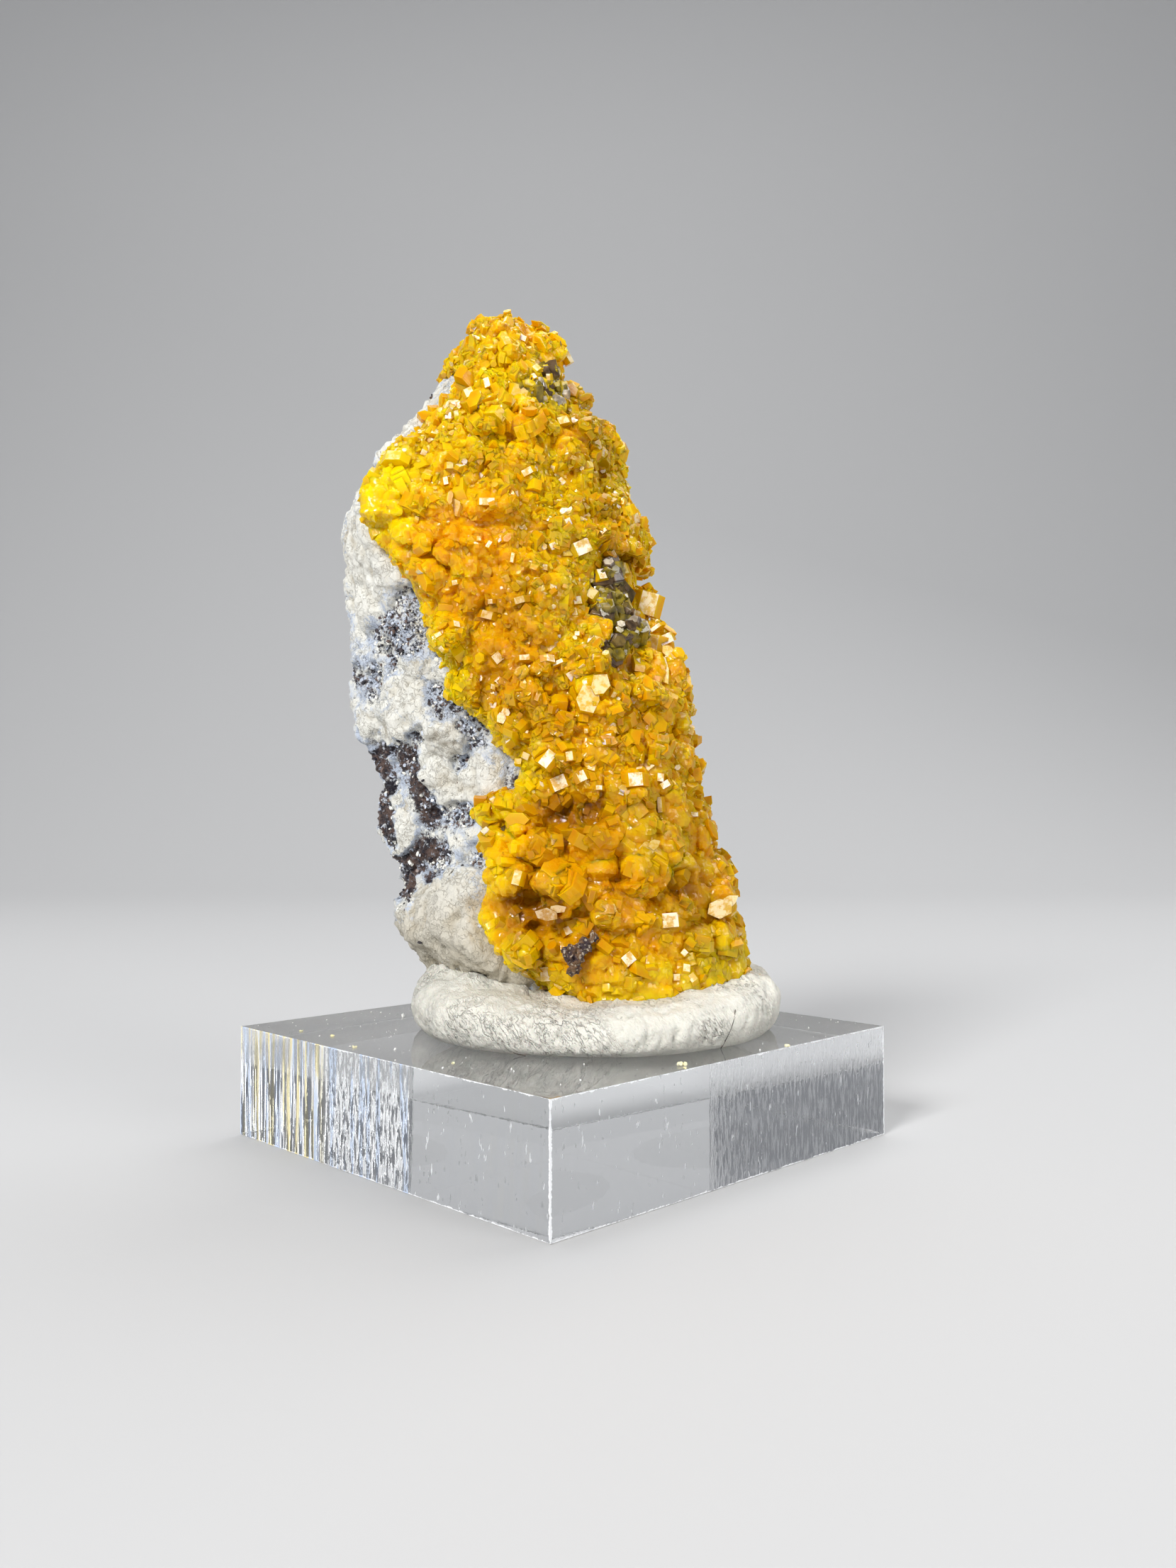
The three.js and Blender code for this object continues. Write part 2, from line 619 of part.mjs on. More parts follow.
function largeCrystals() {
  return LARGE_CRYSTALS.map(([across, up, radius, rise, ...lean]) => {
    const place = facePlace(across, up, crustRelief);
    return crystalGeometry(crystalPlan(place, lean, radius, rise, LARGE_ROOT), 0);
  });
}

function crustTongue() {
  return TONGUE_LUMPS.map(([across, up, radius]) => {
    const { point, normal } = facePlace(across, up, matrixRelief);
    const lump = new THREE.IcosahedronGeometry(radius, 1);
    lump.scale(...TONGUE_STRETCH.toArray());
    lump.translate(...point.clone().addScaledVector(normal, TONGUE_LIFT).toArray());
    return lump;
  });
}

// Plans of a pocket's crystals, on a spiral from its middle outwards
function duftitePlans({ across, up, wide, tall, count }) {
  return Array.from({ length: count }, (_, i) => {
    const reach = Math.sqrt((i + 0.3) / count);
    const [side, rise] = [Math.cos(i * GOLDEN_ANGLE), Math.sin(i * GOLDEN_ANGLE)];
    const place = facePlace(across + side * reach * wide, up + rise * reach * tall, crustRelief);
    const lean = [side, rise].map((s) => s * DUFTITE_SPREAD + between(-DUFTITE_STRAY, DUFTITE_STRAY));
    return crystalPlan(place, lean, between(...DUFTITE_RADIUS), between(...DUFTITE_RISE), DUFTITE_ROOT);
  });
}

// A pocket of duftite: a low bed in a hollow of the crust, with its crystals standing on it
function duftiteSolid({ across, up, wide, tall }, plans, grow) {
  const { point, normal } = facePlace(across, up, crustRelief);
  const bed = new THREE.SphereGeometry(1, 8, 5);
  bed.scale(wide + grow, BED_HALF_DEPTH + grow, tall + grow);
  bed.rotateZ(Math.atan2(normal.x, -normal.y));
  bed.translate(...point.clone().addScaledVector(normal, -BED_SUNK).toArray());
  return plans.reduce((sum, plan) => sum.add(solidOf(crystalGeometry(plan, grow))), solidOf(bed));
}

function crumbSolid() {
  const { point, normal } = facePlace(CRUMB.across, CRUMB.up, crustRelief);
  const seat = point.clone().addScaledVector(normal, CRUMB.lift);
  const lumps = CRUMB_LUMPS.map(({ offset, radius }, i) => {
    const lump = new THREE.IcosahedronGeometry(radius, 0);
    lump.rotateX(i * GOLDEN_ANGLE);
    lump.translate(seat.x + offset[0], seat.y + offset[1], seat.z + offset[2]);
    return solidOf(lump);
  });
  return lumps.reduce((sum, lump) => sum.add(lump));
}

// The putty before the stone is pressed into it
function puttyGeometry() {
  const rings = PUTTY_EDGE.map(({ inset, share, dented }) =>
    levelsOf(0, 2 * Math.PI, PUTTY_SEGMENTS).slice(1).map((angle) => {
      const [across, away] = [Math.cos(angle), Math.sin(angle)];
      const drop = PUTTY_FRONT_DROP * Math.max(0, -away) ** 1.5;
      const scale = PUTTY_DENT_SCALE;
      const dent = dented ? PUTTY_DENT * noise.noise(across * scale, away * scale, share) : 0;
      const radius = PUTTY_RADIUS - inset + dent;
      const height = share * (PUTTY_HEIGHT - drop + dent);
      return new THREE.Vector3(
        PUTTY_CENTRE.x + radius * across,
        PUTTY_CENTRE.y + radius * away,
        BLOCK_HEIGHT + height,
      );
    }),
  );
  return loft(rings);
}

function blockGeometry() {
  const half = BLOCK_SIDE / 2 - BLOCK_CHAMFER;
  const square = new THREE.Shape();
  square.moveTo(-half, -half).lineTo(half, -half).lineTo(half, half).lineTo(-half, half).closePath();
  const geometry = new THREE.ExtrudeGeometry(square, {
    depth: BLOCK_HEIGHT - 2 * BLOCK_CHAMFER,
    bevelSize: BLOCK_CHAMFER,
    bevelThickness: BLOCK_CHAMFER,
    bevelSegments: 1,
  });
  geometry.translate(0, 0, BLOCK_CHAMFER);
  return geometry;
}

function namedMesh(name, geometry, color, roughness) {
  const material = new THREE.MeshStandardMaterial({ color, roughness, metalness: 0, flatShading: true });
  const mesh = new THREE.Mesh(geometry, material);
  mesh.name = name;
  return mesh;
}

THREE.MathUtils.seededRandom(SEED);
const matrix = solidOf(matrixGeometry(0));
const matrixRoom = solidOf(matrixGeometry(GAP));
const pockets = DUFTITE_POCKETS.map((pocket) => ({ pocket, plans: duftitePlans(pocket) }));

// The crust with all that grows on it, cut back from the matrix and from the pockets of duftite
const grownTogether = [...largeCrystals(), ...crustTongue()].reduce(
  (sum, piece) => sum.add(solidOf(piece)),
  solidOf(crustGeometry()),
);
const crust = pockets.reduce(
  (sum, { pocket, plans }) => sum.subtract(duftiteSolid(pocket, plans, GAP)),
  grownTogether.subtract(matrixRoom),
);

// The stone's foot presses its print into the putty, and its low crystals bear the crumb
const footprint = solidOf(footGeometry(LOW_RISE + GAP + PRINT_SLACK));
const putty = solidOf(puttyGeometry()).subtract(matrixRoom).subtract(footprint);
const crumbSeat = solidOf(footGeometry(LOW_RISE + GAP + 2 * PRINT_SLACK));
const crumb = crumbSolid().subtract(crumbSeat);

const stone = new THREE.Group();
stone.rotation.z = STONE_TURN;
stone.add(namedMesh("mounting_putty", geometryOf(putty), 0xd9d6cb, 0.75));
stone.add(namedMesh("matrix", geometryOf(matrix), 0xdedacb, 0.9));
stone.add(namedMesh("mimetite_crust", geometryOf(crust), 0xe0930b, 0.25));
pockets.forEach(({ pocket, plans }) => {
  const solid = duftiteSolid(pocket, plans, 0).subtract(matrixRoom);
  stone.add(namedMesh(pocket.name, geometryOf(solid), 0x5f5a1c, 0.25));
});
stone.add(namedMesh("oxide_crumb", geometryOf(crumb), 0x3b2a2c, 0.7));

const specimen = new THREE.Group();
specimen.add(namedMesh("acrylic_base", blockGeometry(), 0xf2f5f7, 0.05));
specimen.add(stone);

export default specimen;
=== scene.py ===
import math

import bmesh
import bpy
import numpy as np
from bpy.props import FloatProperty, FloatVectorProperty, IntProperty, PointerProperty
from mathutils import Euler, Matrix, Vector, noise
from mathutils.bvhtree import BVHTree


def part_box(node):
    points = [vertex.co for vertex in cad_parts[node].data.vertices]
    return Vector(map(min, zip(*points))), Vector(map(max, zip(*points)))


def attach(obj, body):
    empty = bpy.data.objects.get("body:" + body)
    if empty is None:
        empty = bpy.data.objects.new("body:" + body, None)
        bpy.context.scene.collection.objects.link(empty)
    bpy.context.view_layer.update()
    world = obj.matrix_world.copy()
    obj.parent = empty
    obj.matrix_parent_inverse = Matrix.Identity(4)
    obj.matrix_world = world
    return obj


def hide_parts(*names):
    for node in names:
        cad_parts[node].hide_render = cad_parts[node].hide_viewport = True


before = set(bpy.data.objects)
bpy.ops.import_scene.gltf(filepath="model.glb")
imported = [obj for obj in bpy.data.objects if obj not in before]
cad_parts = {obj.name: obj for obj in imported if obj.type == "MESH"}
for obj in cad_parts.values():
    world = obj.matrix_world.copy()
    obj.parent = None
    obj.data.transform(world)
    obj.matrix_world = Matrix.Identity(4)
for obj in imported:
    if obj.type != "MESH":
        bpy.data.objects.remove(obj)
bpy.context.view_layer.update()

bl_info = {
    "name": "Mimetite Specimen",
    "version": (1, 0, 0),
    "blender": (4, 5, 0),
    "location": "3D View > Sidebar > Specimen",
    "description": "Dresses a mimetite and duftite specimen on its putty pad and clear block",
    "category": "Object",
}

MM = 0.001
BODY = "root"

# The stone's own frame is turned on the block: across runs over its crystal face, away runs behind it.
# Places on it are given in millimetres as (across, away, up).
STONE_TURN = math.radians(45)
STONE_TO_ROW = Matrix.Rotation(STONE_TURN, 3, "Z") * MM
ROW_TO_STONE = STONE_TO_ROW.inverted()
FAR_IN_FRONT = -60.0

# How far back soft zones reach on the crust and on the rock, and over what distance they fade out
CRUST_REACH = 3.0
ROCK_REACH = 9.0
FADE = 1.5

# Heights at which the crust starts to change, and at which each change is complete
HIGH_UP = (46.0, 54.0)
DEEPER_COLOURS_AND_SHADE = (46.0, 24.0)
ROUND_MASSES = (36.0, 28.0)
FEWER_CRYSTALS = (36.0, 26.0)
LARGER_CRYSTALS = (38.0, 24.0)

# The height up to which the seam is lemon, and the height below which no crystal grows
SEAM_TOP = 44.0
CRUST_FOOT = 10.8

# Usual size of the crust's rounded masses, and how deep its dark hollows are, as a multiple of the relief
MASS_SIZE = 2.6
HOLLOW_DEPTH = 2.4

# Levels at which the matrix's middle is found, and how far from a level the vertices count
LEVELS = 24
LEVEL_REACH = 4 * MM

# The seam where the crust meets the bare matrix, seen from in front: (across, up)
SEAM = [
    (0.5, 10.6), (-0.5, 13.0), (-5.2, 16.0), (-6.6, 19.0), (-5.2, 22.0), (-4.0, 25.0), (-2.0, 28.0),
    (-3.0, 31.0), (-6.2, 34.0), (-8.6, 38.0), (-10.4, 42.0), (-11.6, 46.0), (-14.6, 48.5),
]

# Soft colour zones of the crust, seen from in front: (across, up, half width, half height, strength)
LEMON_ZONES = [
    (-13.2, 51.8, 3.0, 3.8, 1.0), (-11.0, 54.6, 2.0, 1.4, 0.7), (-6.6, 17.6, 1.6, 3.4, 1.0),
    (5.6, 13.2, 3.6, 2.0, 0.8), (12.6, 14.4, 2.4, 2.4, 0.7), (-3.4, 14.6, 2.2, 1.6, 0.8),
    (-5.8, 34.4, 1.8, 1.6, 0.9), (-5.6, 27.0, 2.6, 0.9, 1.0), (-5.0, 62.5, 2.6, 3.0, 0.5),
    (7.0, 51.0, 1.4, 2.0, 0.4),
]
ORANGE_ZONES = [
    (-6.2, 46.6, 4.2, 5.4, 1.0), (-10.2, 50.2, 1.2, 1.3, 0.9), (-3.4, 39.6, 2.4, 2.6, 0.8),
    (-3.0, 57.6, 1.4, 1.3, 1.0), (1.2, 56.4, 0.9, 1.6, 0.9), (-3.0, 65.6, 1.1, 1.6, 0.9),
    (9.7, 39.2, 1.0, 1.4, 1.0), (-3.6, 36.2, 3.0, 2.2, 0.8), (1.0, 20.8, 2.2, 1.5, 1.0),
    (-0.8, 23.4, 3.4, 2.4, 0.9), (7.8, 18.2, 2.0, 2.0, 1.0), (-1.8, 26.4, 1.1, 1.2, 1.0),
    (3.8, 32.6, 2.0, 2.0, 0.4), (4.6, 24.4, 2.6, 1.8, 0.7),
]
OLIVE_ZONES = [
    (2.4, 59.0, 1.6, 3.4, 0.8), (2.8, 53.2, 2.0, 3.2, 0.8), (3.2, 44.6, 3.0, 4.6, 1.0),
    (0.2, 43.0, 1.6, 3.0, 0.6), (9.0, 33.0, 1.4, 5.0, 0.6), (11.0, 20.0, 1.5, 2.4, 1.0),
    (12.8, 14.8, 2.0, 1.8, 0.9), (-3.4, 17.4, 2.0, 1.6, 0.5), (4.6, 38.4, 1.8, 1.6, 0.8),
    (9.6, 26.0, 1.3, 3.0, 0.6), (-0.2, 49.2, 2.4, 2.4, 0.7),
]
# Amber zones are dark amber: partly painted shade in the crust's hollows, which the bed also sinks there, and
# partly the crust's own darker colour
AMBER_ZONES = [
    (0.9, 26.7, 2.9, 1.5, 0.88), (-1.8, 19.6, 2.4, 2.0, 0.78), (9.7, 21.2, 1.2, 1.3, 0.9),
    (-4.8, 37.6, 1.6, 0.6, 0.6), (3.4, 54.9, 0.7, 1.4, 0.6), (4.2, 51.0, 0.7, 1.2, 0.5),
    (1.2, 58.2, 0.7, 0.9, 0.5), (3.9, 47.8, 1.2, 1.2, 0.6), (5.2, 38.4, 1.2, 0.9, 0.6),
    (-3.2, 38.6, 3.2, 3.6, 0.4), (-2.0, 33.6, 3.0, 2.4, 0.35), (-4.3, 42.9, 3.4, 2.2, 0.45),
    (3.6, 21.8, 2.6, 0.5, 0.6), (5.4, 47.4, 0.8, 0.8, 0.6), (0.6, 63.0, 0.9, 1.2, 0.5),
    (2.2, 59.2, 2.2, 3.6, 0.35), (11.0, 20.0, 2.4, 3.4, 0.5),
]
ZONE_LISTS = [LEMON_ZONES, ORANGE_ZONES, OLIVE_ZONES, AMBER_ZONES]

# The bulge high on the left, which is kept free of orange and olive
BULGE = LEMON_ZONES[:1]

# Stretches of the crust with few fine crystals, where its masses look smooth
SMOOTH_ZONES = [
    (-13.2, 51.6, 3.2, 3.8, 1.0), (-7.0, 46.6, 3.8, 4.6, 0.97), (-3.4, 39.4, 2.6, 3.2, 0.8),
    (-1.6, 19.8, 2.6, 2.4, 0.8), (4.8, 22.6, 3.6, 2.6, 0.7), (7.4, 18.0, 2.4, 2.6, 0.6),
    (8.0, 28.0, 3.0, 4.0, 0.4), (-6.0, 18.0, 1.8, 3.0, 0.7), (11.4, 23.0, 1.6, 2.6, 0.6),
]

# The pockets of dark glassy crystals: their zone (across, up, half width, half height, strength), how much
# finer their crystals are than usual, the shares of pale and of yellow ones, how far their bed is sunk in
# millimetres, and the span of the dark ones' tones
POCKETS = {
    "duftite_upper": {
        "zone": (-0.5, 61.2, 1.9, 2.5, 0.56),
        "fineness": 1.5, "pale": 0.3, "yellow": 0.42, "sunk": 0.2, "tones": 1.25,
    },
    "duftite_lower": {
        "zone": (4.6, 42.9, 2.2, 4.2, 1.0),
        "fineness": 1.0, "pale": 0.42, "yellow": 0.06, "sunk": 0.0, "tones": 1.1,
    },
}

# The iron oxide crumb, seen from in front: (across, up, half width, half height)
CRUMB = (1.5, 16.1, 1.3, 1.7)

# The matrix's white coating where it is thick, its brown ridges and its bare rock, as zones like those above
THICK_COATING = [
    (-9.6, 17.6, 4.2, 4.0, 1.0), (-6.2, 14.0, 3.2, 2.4, 1.0), (-9.7, 31.4, 1.4, 2.4, 1.0),
    (-6.8, 29.5, 2.0, 1.6, 1.0), (-8.9, 28.6, 0.9, 1.1, 0.9), (-12.2, 36.6, 1.7, 2.4, 1.0),
    (-13.6, 34.4, 1.1, 1.4, 0.8), (-13.2, 25.6, 0.9, 1.7, 0.9), (-15.2, 46.6, 3.2, 3.6, 1.0),
    (-12.8, 60.0, 2.4, 4.0, 1.0), (-16.0, 34.2, 0.6, 1.2, 0.8), (-11.6, 38.6, 1.4, 1.2, 0.7),
]
RIDGES = [
    (-14.8, 32.4, 1.5, 0.5, 0.9), (-12.9, 31.4, 0.9, 0.8, 1.0), (-11.9, 29.0, 0.7, 1.8, 1.0),
    (-11.2, 26.8, 0.7, 1.0, 0.9), (-16.2, 29.4, 1.3, 3.6, 1.0), (-15.4, 24.8, 1.1, 2.6, 1.0),
    (-11.2, 23.6, 1.7, 0.8, 1.0), (-12.8, 22.5, 1.4, 0.8, 1.0), (-10.9, 21.4, 0.9, 0.6, 1.0),
    (-13.2, 20.3, 1.0, 1.2, 1.0), (-9.6, 12.6, 0.9, 1.6, 1.0), (-17.4, 38.8, 0.8, 0.8, 0.6),
]
BARE_ROCK = RIDGES + [
    (-13.0, 42.2, 1.9, 2.6, 1.2), (-16.2, 38.0, 1.3, 1.3, 0.5), (-9.2, 36.3, 1.3, 0.9, 1.1),
    (-6.9, 33.4, 0.8, 1.2, 0.7), (-8.2, 31.0, 0.8, 0.6, 0.9), (-3.4, 28.9, 1.0, 1.4, 0.8),
    (-8.3, 26.9, 1.8, 1.0, 0.9), (-11.8, 32.9, 0.9, 0.7, 0.5), (-9.9, 22.6, 1.0, 0.9, 0.8),
    (-6.2, 23.4, 1.0, 1.0, 0.7), (-15.6, 55.6, 0.8, 1.6, 0.5),
]

# Blocky crystals that stand out, seen from in front: (across, up, radius, lean across, lean up, rise, tone).
# Each is a group of several, and none grows wider than the largest radius.
GROUP_SIZE = 6
LARGEST_BLOCK = 1.15
BLOCKY_CRYSTALS = [
    (-4.9, 57.9, 0.85, -0.1, 0.4, 0.7, 0.7), (-2.9, 56.8, 1.15, -0.6, 0.5, 0.9, 1.0),
    (-1.5, 56.9, 0.7, 0.2, 0.5, 0.7, 0.9), (1.1, 56.3, 1.1, 0.1, 0.4, 0.9, 0.9),
    (-0.5, 64.1, 0.9, 0.3, 0.6, 0.8, 0.4), (-4.4, 63.3, 0.7, -0.2, 0.6, 0.7, 0.8),
    (-4.6, 65.3, 1.0, -0.3, 0.3, 0.6, 0.8), (-2.2, 66.2, 0.9, 0.2, 0.9, 0.9, 0.7),
    (5.9, 48.9, 0.9, 0.8, 0.2, 0.8, 0.8), (-5.9, 38.9, 1.2, -0.1, 0.2, 0.8, 0.9),
    (-2.9, 37.6, 0.9, 0.2, 0.2, 0.7, 0.7), (9.5, 39.6, 1.15, 1.0, 0.1, 1.2, 1.0),
    (10.0, 31.6, 0.9, 1.1, 0.0, 0.9, 0.9), (9.8, 34.4, 0.8, 1.0, 0.2, 0.9, 0.7),
    (0.6, 28.0, 0.85, 0.2, 0.1, 1.0, 1.0), (4.0, 27.6, 0.8, 0.1, 0.3, 0.8, 0.8),
    (3.5, 23.6, 1.3, -0.6, 0.5, 0.9, 0.9), (5.4, 24.6, 1.1, 0.7, 0.5, 0.9, 1.0),
    (1.0, 21.0, 1.5, 0.3, -0.2, 1.3, 1.0), (-0.6, 21.6, 1.2, -0.7, -0.1, 1.0, 0.9),
    (6.4, 18.7, 1.6, -0.2, 0.3, 1.1, 1.0), (8.2, 17.1, 1.3, 0.3, 0.1, 1.1, 1.0),
    (7.6, 23.6, 1.6, 0.2, 0.4, 0.9, 0.8), (9.6, 22.0, 1.5, 0.7, 0.3, 0.9, 0.7),
    (11.2, 23.6, 1.3, 0.9, 0.4, 0.9, 0.6), (-5.0, 23.0, 1.3, -0.8, 0.2, 0.9, 0.7),
    (-5.9, 20.6, 1.4, -0.8, 0.0, 0.8, 0.6), (-3.0, 24.6, 1.2, -0.3, 0.6, 0.9, 0.9),
    (-5.3, 17.4, 1.3, -0.5, -0.2, 0.8, 0.5), (12.6, 17.4, 1.2, 0.9, 0.2, 0.9, 0.6),
    (13.2, 14.0, 1.0, 0.5, 0.0, 0.6, 0.5), (4.4, 13.4, 1.2, 0.2, -0.3, 0.9, 0.8),
    (8.2, 14.6, 1.2, 0.4, -0.1, 0.9, 0.7), (-12.6, 53.6, 1.1, -0.4, 0.5, 0.7, 0.7),
    (-9.6, 54.2, 0.8, -0.2, 0.5, 0.5, 0.7), (-11.2, 48.6, 0.8, -0.3, -0.5, 0.5, 0.5),
]

# Flat faces that catch the light, seen from in front: (across, up, width, height, turn in degrees, frost)
LIT_FACES = [
    (1.8, 47.8, 1.25, 1.1, 25, 1.0), (3.3, 45.7, 0.6, 0.95, 12, 1.0), (-1.8, 45.0, 0.45, 0.45, 8, 1.0),
    (0.7, 47.3, 0.9, 0.5, 5, 0.6), (-0.5, 40.0, 1.25, 1.1, 14, 1.0), (-0.8, 38.5, 0.7, 0.6, -8, 1.0),
    (0.1, 38.3, 0.8, 0.3, 22, 0.6), (1.2, 37.7, 0.85, 0.75, 30, 1.0), (1.3, 43.4, 0.65, 0.6, 10, 0.7),
    (2.5, 44.1, 0.7, 0.95, -35, 0.5), (-5.4, 50.6, 1.15, 0.55, 0, 0.9), (-7.7, 50.5, 0.8, 1.15, -30, 0.35),
    (-2.5, 53.7, 0.8, 0.5, 30, 1.0), (-6.3, 52.6, 0.4, 0.55, -20, 1.0), (-8.6, 52.5, 0.35, 0.6, 10, 0.9),
    (-12.2, 52.2, 0.6, 0.5, 0, 0.7), (-5.5, 60.7, 0.45, 0.75, 15, 0.9), (-7.0, 56.3, 0.5, 0.85, -35, 1.0),
    (-7.2, 55.7, 0.5, 0.4, 0, 0.9), (-8.0, 58.2, 0.35, 0.7, 10, 0.5), (-8.3, 53.7, 0.5, 0.5, 0, 0.4),
    (-7.0, 60.0, 0.65, 0.8, 25, 0.7), (0.2, 58.1, 0.9, 0.6, 20, 0.7), (-3.2, 60.0, 1.2, 1.5, -20, 0.35),
    (0.4, 65.3, 0.45, 1.2, 30, 0.9), (-0.8, 62.0, 0.3, 0.5, 0, 1.0), (-0.4, 63.5, 0.3, 0.45, 10, 1.0),
    (-2.0, 61.4, 0.3, 0.45, 30, 1.0), (-1.2, 60.1, 0.4, 0.5, 20, 0.9), (6.2, 51.6, 0.5, 0.85, 20, 0.9),
    (-4.2, 64.1, 0.6, 0.6, 15, 0.5), (-12.7, 54.5, 1.2, 0.9, -5, 0.45), (-5.3, 47.3, 0.3, 0.6, -30, 0.9),
    (-6.1, 47.7, 0.3, 0.4, 0, 0.8), (-3.5, 46.5, 0.25, 0.75, -10, 0.9), (-7.8, 44.6, 0.4, 0.35, 10, 0.9),
    (-2.8, 43.0, 0.75, 0.5, 15, 0.4), (-5.4, 42.1, 0.85, 0.6, -15, 0.35), (-9.1, 40.4, 0.5, 0.35, 30, 0.6),
    (-4.5, 38.9, 0.7, 0.75, 35, 0.6), (-2.5, 38.5, 0.75, 0.45, 5, 0.7), (-5.0, 43.2, 0.4, 0.35, 0, 0.6),
    (-0.8, 30.9, 0.75, 1.35, -38, 1.0), (0.2, 29.2, 1.15, 1.05, 22, 0.95), (1.8, 29.6, 0.6, 0.8, 25, 0.9),
    (2.5, 30.2, 0.55, 0.75, -20, 0.9), (3.1, 28.7, 0.45, 0.35, 0, 0.9), (5.9, 29.3, 1.05, 1.05, 5, 0.95),
    (7.8, 29.5, 0.5, 0.65, -8, 1.0), (8.2, 29.0, 0.7, 0.5, 30, 1.0), (0.9, 31.1, 0.5, 0.7, 8, 0.7),
    (-2.4, 31.3, 0.55, 0.5, -25, 0.5), (3.7, 32.9, 0.6, 0.45, 10, 1.0), (2.2, 33.3, 0.25, 0.35, 0, 0.8),
    (8.9, 34.7, 0.4, 1.4, 8, 0.9), (-3.1, 23.6, 0.85, 0.85, 40, 0.8), (-3.0, 21.9, 0.6, 1.1, -12, 0.35),
    (0.8, 17.8, 0.6, 0.6, 25, 0.6), (8.6, 18.6, 1.2, 1.1, 5, 0.85), (14.2, 16.8, 0.7, 0.95, -30, 0.6),
    (3.7, 18.2, 0.45, 0.4, 30, 0.9), (4.4, 18.2, 0.5, 0.3, -15, 0.9), (9.6, 16.0, 0.45, 0.45, 45, 0.9),
    (5.3, 15.8, 0.85, 0.85, 38, 0.95), (10.4, 13.3, 0.3, 0.35, 10, 0.8), (9.0, 14.2, 0.5, 0.5, 0, 0.6),
    (-1.0, 14.5, 0.75, 1.1, 4, 0.75), (-1.2, 13.2, 0.7, 0.9, 3, 1.0), (0.1, 13.8, 0.75, 0.95, 8, 0.4),
    (10.7, 26.7, 0.6, 0.35, 0, 0.9), (6.6, 26.3, 0.7, 0.25, 15, 0.9), (8.0, 27.5, 0.35, 1.2, 5, 0.6),
    (7.4, 40.8, 1.4, 1.5, -12, 0.6), (8.5, 41.1, 1.2, 0.8, 25, 0.9), (7.9, 42.0, 0.9, 0.3, 35, 0.9),
    (7.2, 44.3, 1.4, 1.9, -14, 0.8), (1.5, 40.6, 0.35, 0.35, 0, 0.9), (1.2, 42.4, 0.4, 0.6, 10, 0.9),
    (4.9, 46.6, 0.9, 0.9, 15, 0.6),
]

# Broad frosted plates, seen from in front: (across, up, half width, half height, turn in degrees, frost)
FROSTED_PLATES = [
    (2.6, 35.7, 1.35, 1.6, -20, 0.75), (8.5, 38.9, 1.0, 1.75, 38, 0.7), (-0.5, 19.4, 1.1, 0.6, 5, 0.6),
    (13.0, 19.5, 1.2, 0.95, 10, 0.8), (-4.2, 34.3, 0.55, 0.65, 20, 0.85), (6.9, 24.1, 0.75, 0.75, 4, 0.35),
]

# A hair and dark fibres, seen from in front, along points (across, up), and flecks on the block as
# (across, away, up, size)
FIBRE_THICKNESS = 0.075
FIBRES = {
    "hair": [(12.3, 9.1), (12.6, 9.8), (12.8, 10.4), (13.2, 11.1), (13.4, 11.9)],
    "ring": [(-2.4, 14.7), (-2.3, 15.0), (-2.6, 15.25), (-3.0, 15.1), (-3.05, 14.75), (-2.75, 14.6)],
    "dash": [(-2.05, 15.6), (-1.7, 15.72), (-1.35, 15.7)],
    "curl": [(-3.1, 14.4), (-2.7, 14.3), (-2.4, 14.4)],
    "short hair": [(-3.2, 9.3), (-2.8, 9.15), (-2.3, 9.1)],
    "thread": [(-0.4, 66.8), (0.0, 66.2), (0.1, 65.7)],
}
FLECKS = [
    (8.9, -16.2, 9.0, 0.3), (9.1, -17.7, 9.0, 0.16), (17.4, -9.4, 9.0, 0.26), (-15.6, -9.7, 9.0, 0.18),
    (-18.2, -4.8, 9.0, 0.2), (-21.3, -2.5, 9.0, 0.14), (-7.3, -15.7, 9.0, 0.14),
]

# Shapes of crystals as (taper, rim, lying): upright ones with an end face on top, and ones that lie on a side
SIDES = 6
CRYSTAL_SHAPES = {"plain": (0.96, 0.0, False), "blunt": (0.92, 0.12, False), "lying": (1.0, 0.0, True)}

# How the crust's scattered crystals differ by size: how far they rise in millimetres, how strongly the smooth
# zones and the lower part thin them out, and the shares of the three shapes. Frosted ones, whose pale ends
# are partly painted glints, rise a little farther, and only small ones are frosted.
MIDDLING = {"rises": (-0.2, 0.08), "smooth": 0.9, "low_down": 0.8, "shapes": (0.2, 0.4, 0.4)}
FINE = {"rises": (-0.1, 0.05), "smooth": 0.95, "low_down": 0.6, "shapes": (0.35, 0.1, 0.55)}
FROST_RISE = 0.14
LARGEST_FROSTED = 0.3

# The tone that stands for a yellow crystal in the pockets
YELLOW_TONE = -1.0

# How light spreads inside the crust's body and the pockets, and inside crystals, for red, green and blue
BED_GLOW = (1.0, 0.7, 0.3)
CRYSTAL_GLOW = (0.7, 1.0, 0.4)

# Where the sawn stretches end on the block's left side and begin on its right side, and how near to a side's
# plane its vertices lie, in metres
LEFT_SAWN_TO = (4.2 * MM, 4.6 * MM)
RIGHT_SAWN_FROM = (-3.7 * MM, -3.3 * MM)
ON_A_SIDE = 1e-7

# How far the putty is drawn up to the stone, and how deep it then lies behind the stone's face
PRINT_REACH = 1.3 * MM
PRINT_DEPTH = 0.08 * MM

# Lamps: place on the stone's frame, size in metres and power in watts
LAMP_TARGET = (-2.0, 0.0, 36.0)
LAMPS = {
    "key": ((-370.0, -600.0, 460.0), 0.24, 7.2),
    "fill": ((560.0, -420.0, 240.0), 0.35, 2.4),
    "top": ((-60.0, 180.0, 800.0), 0.5, 2.0),
    "rear": ((220.0, 260.0, 430.0), 0.35, 0.8),
}

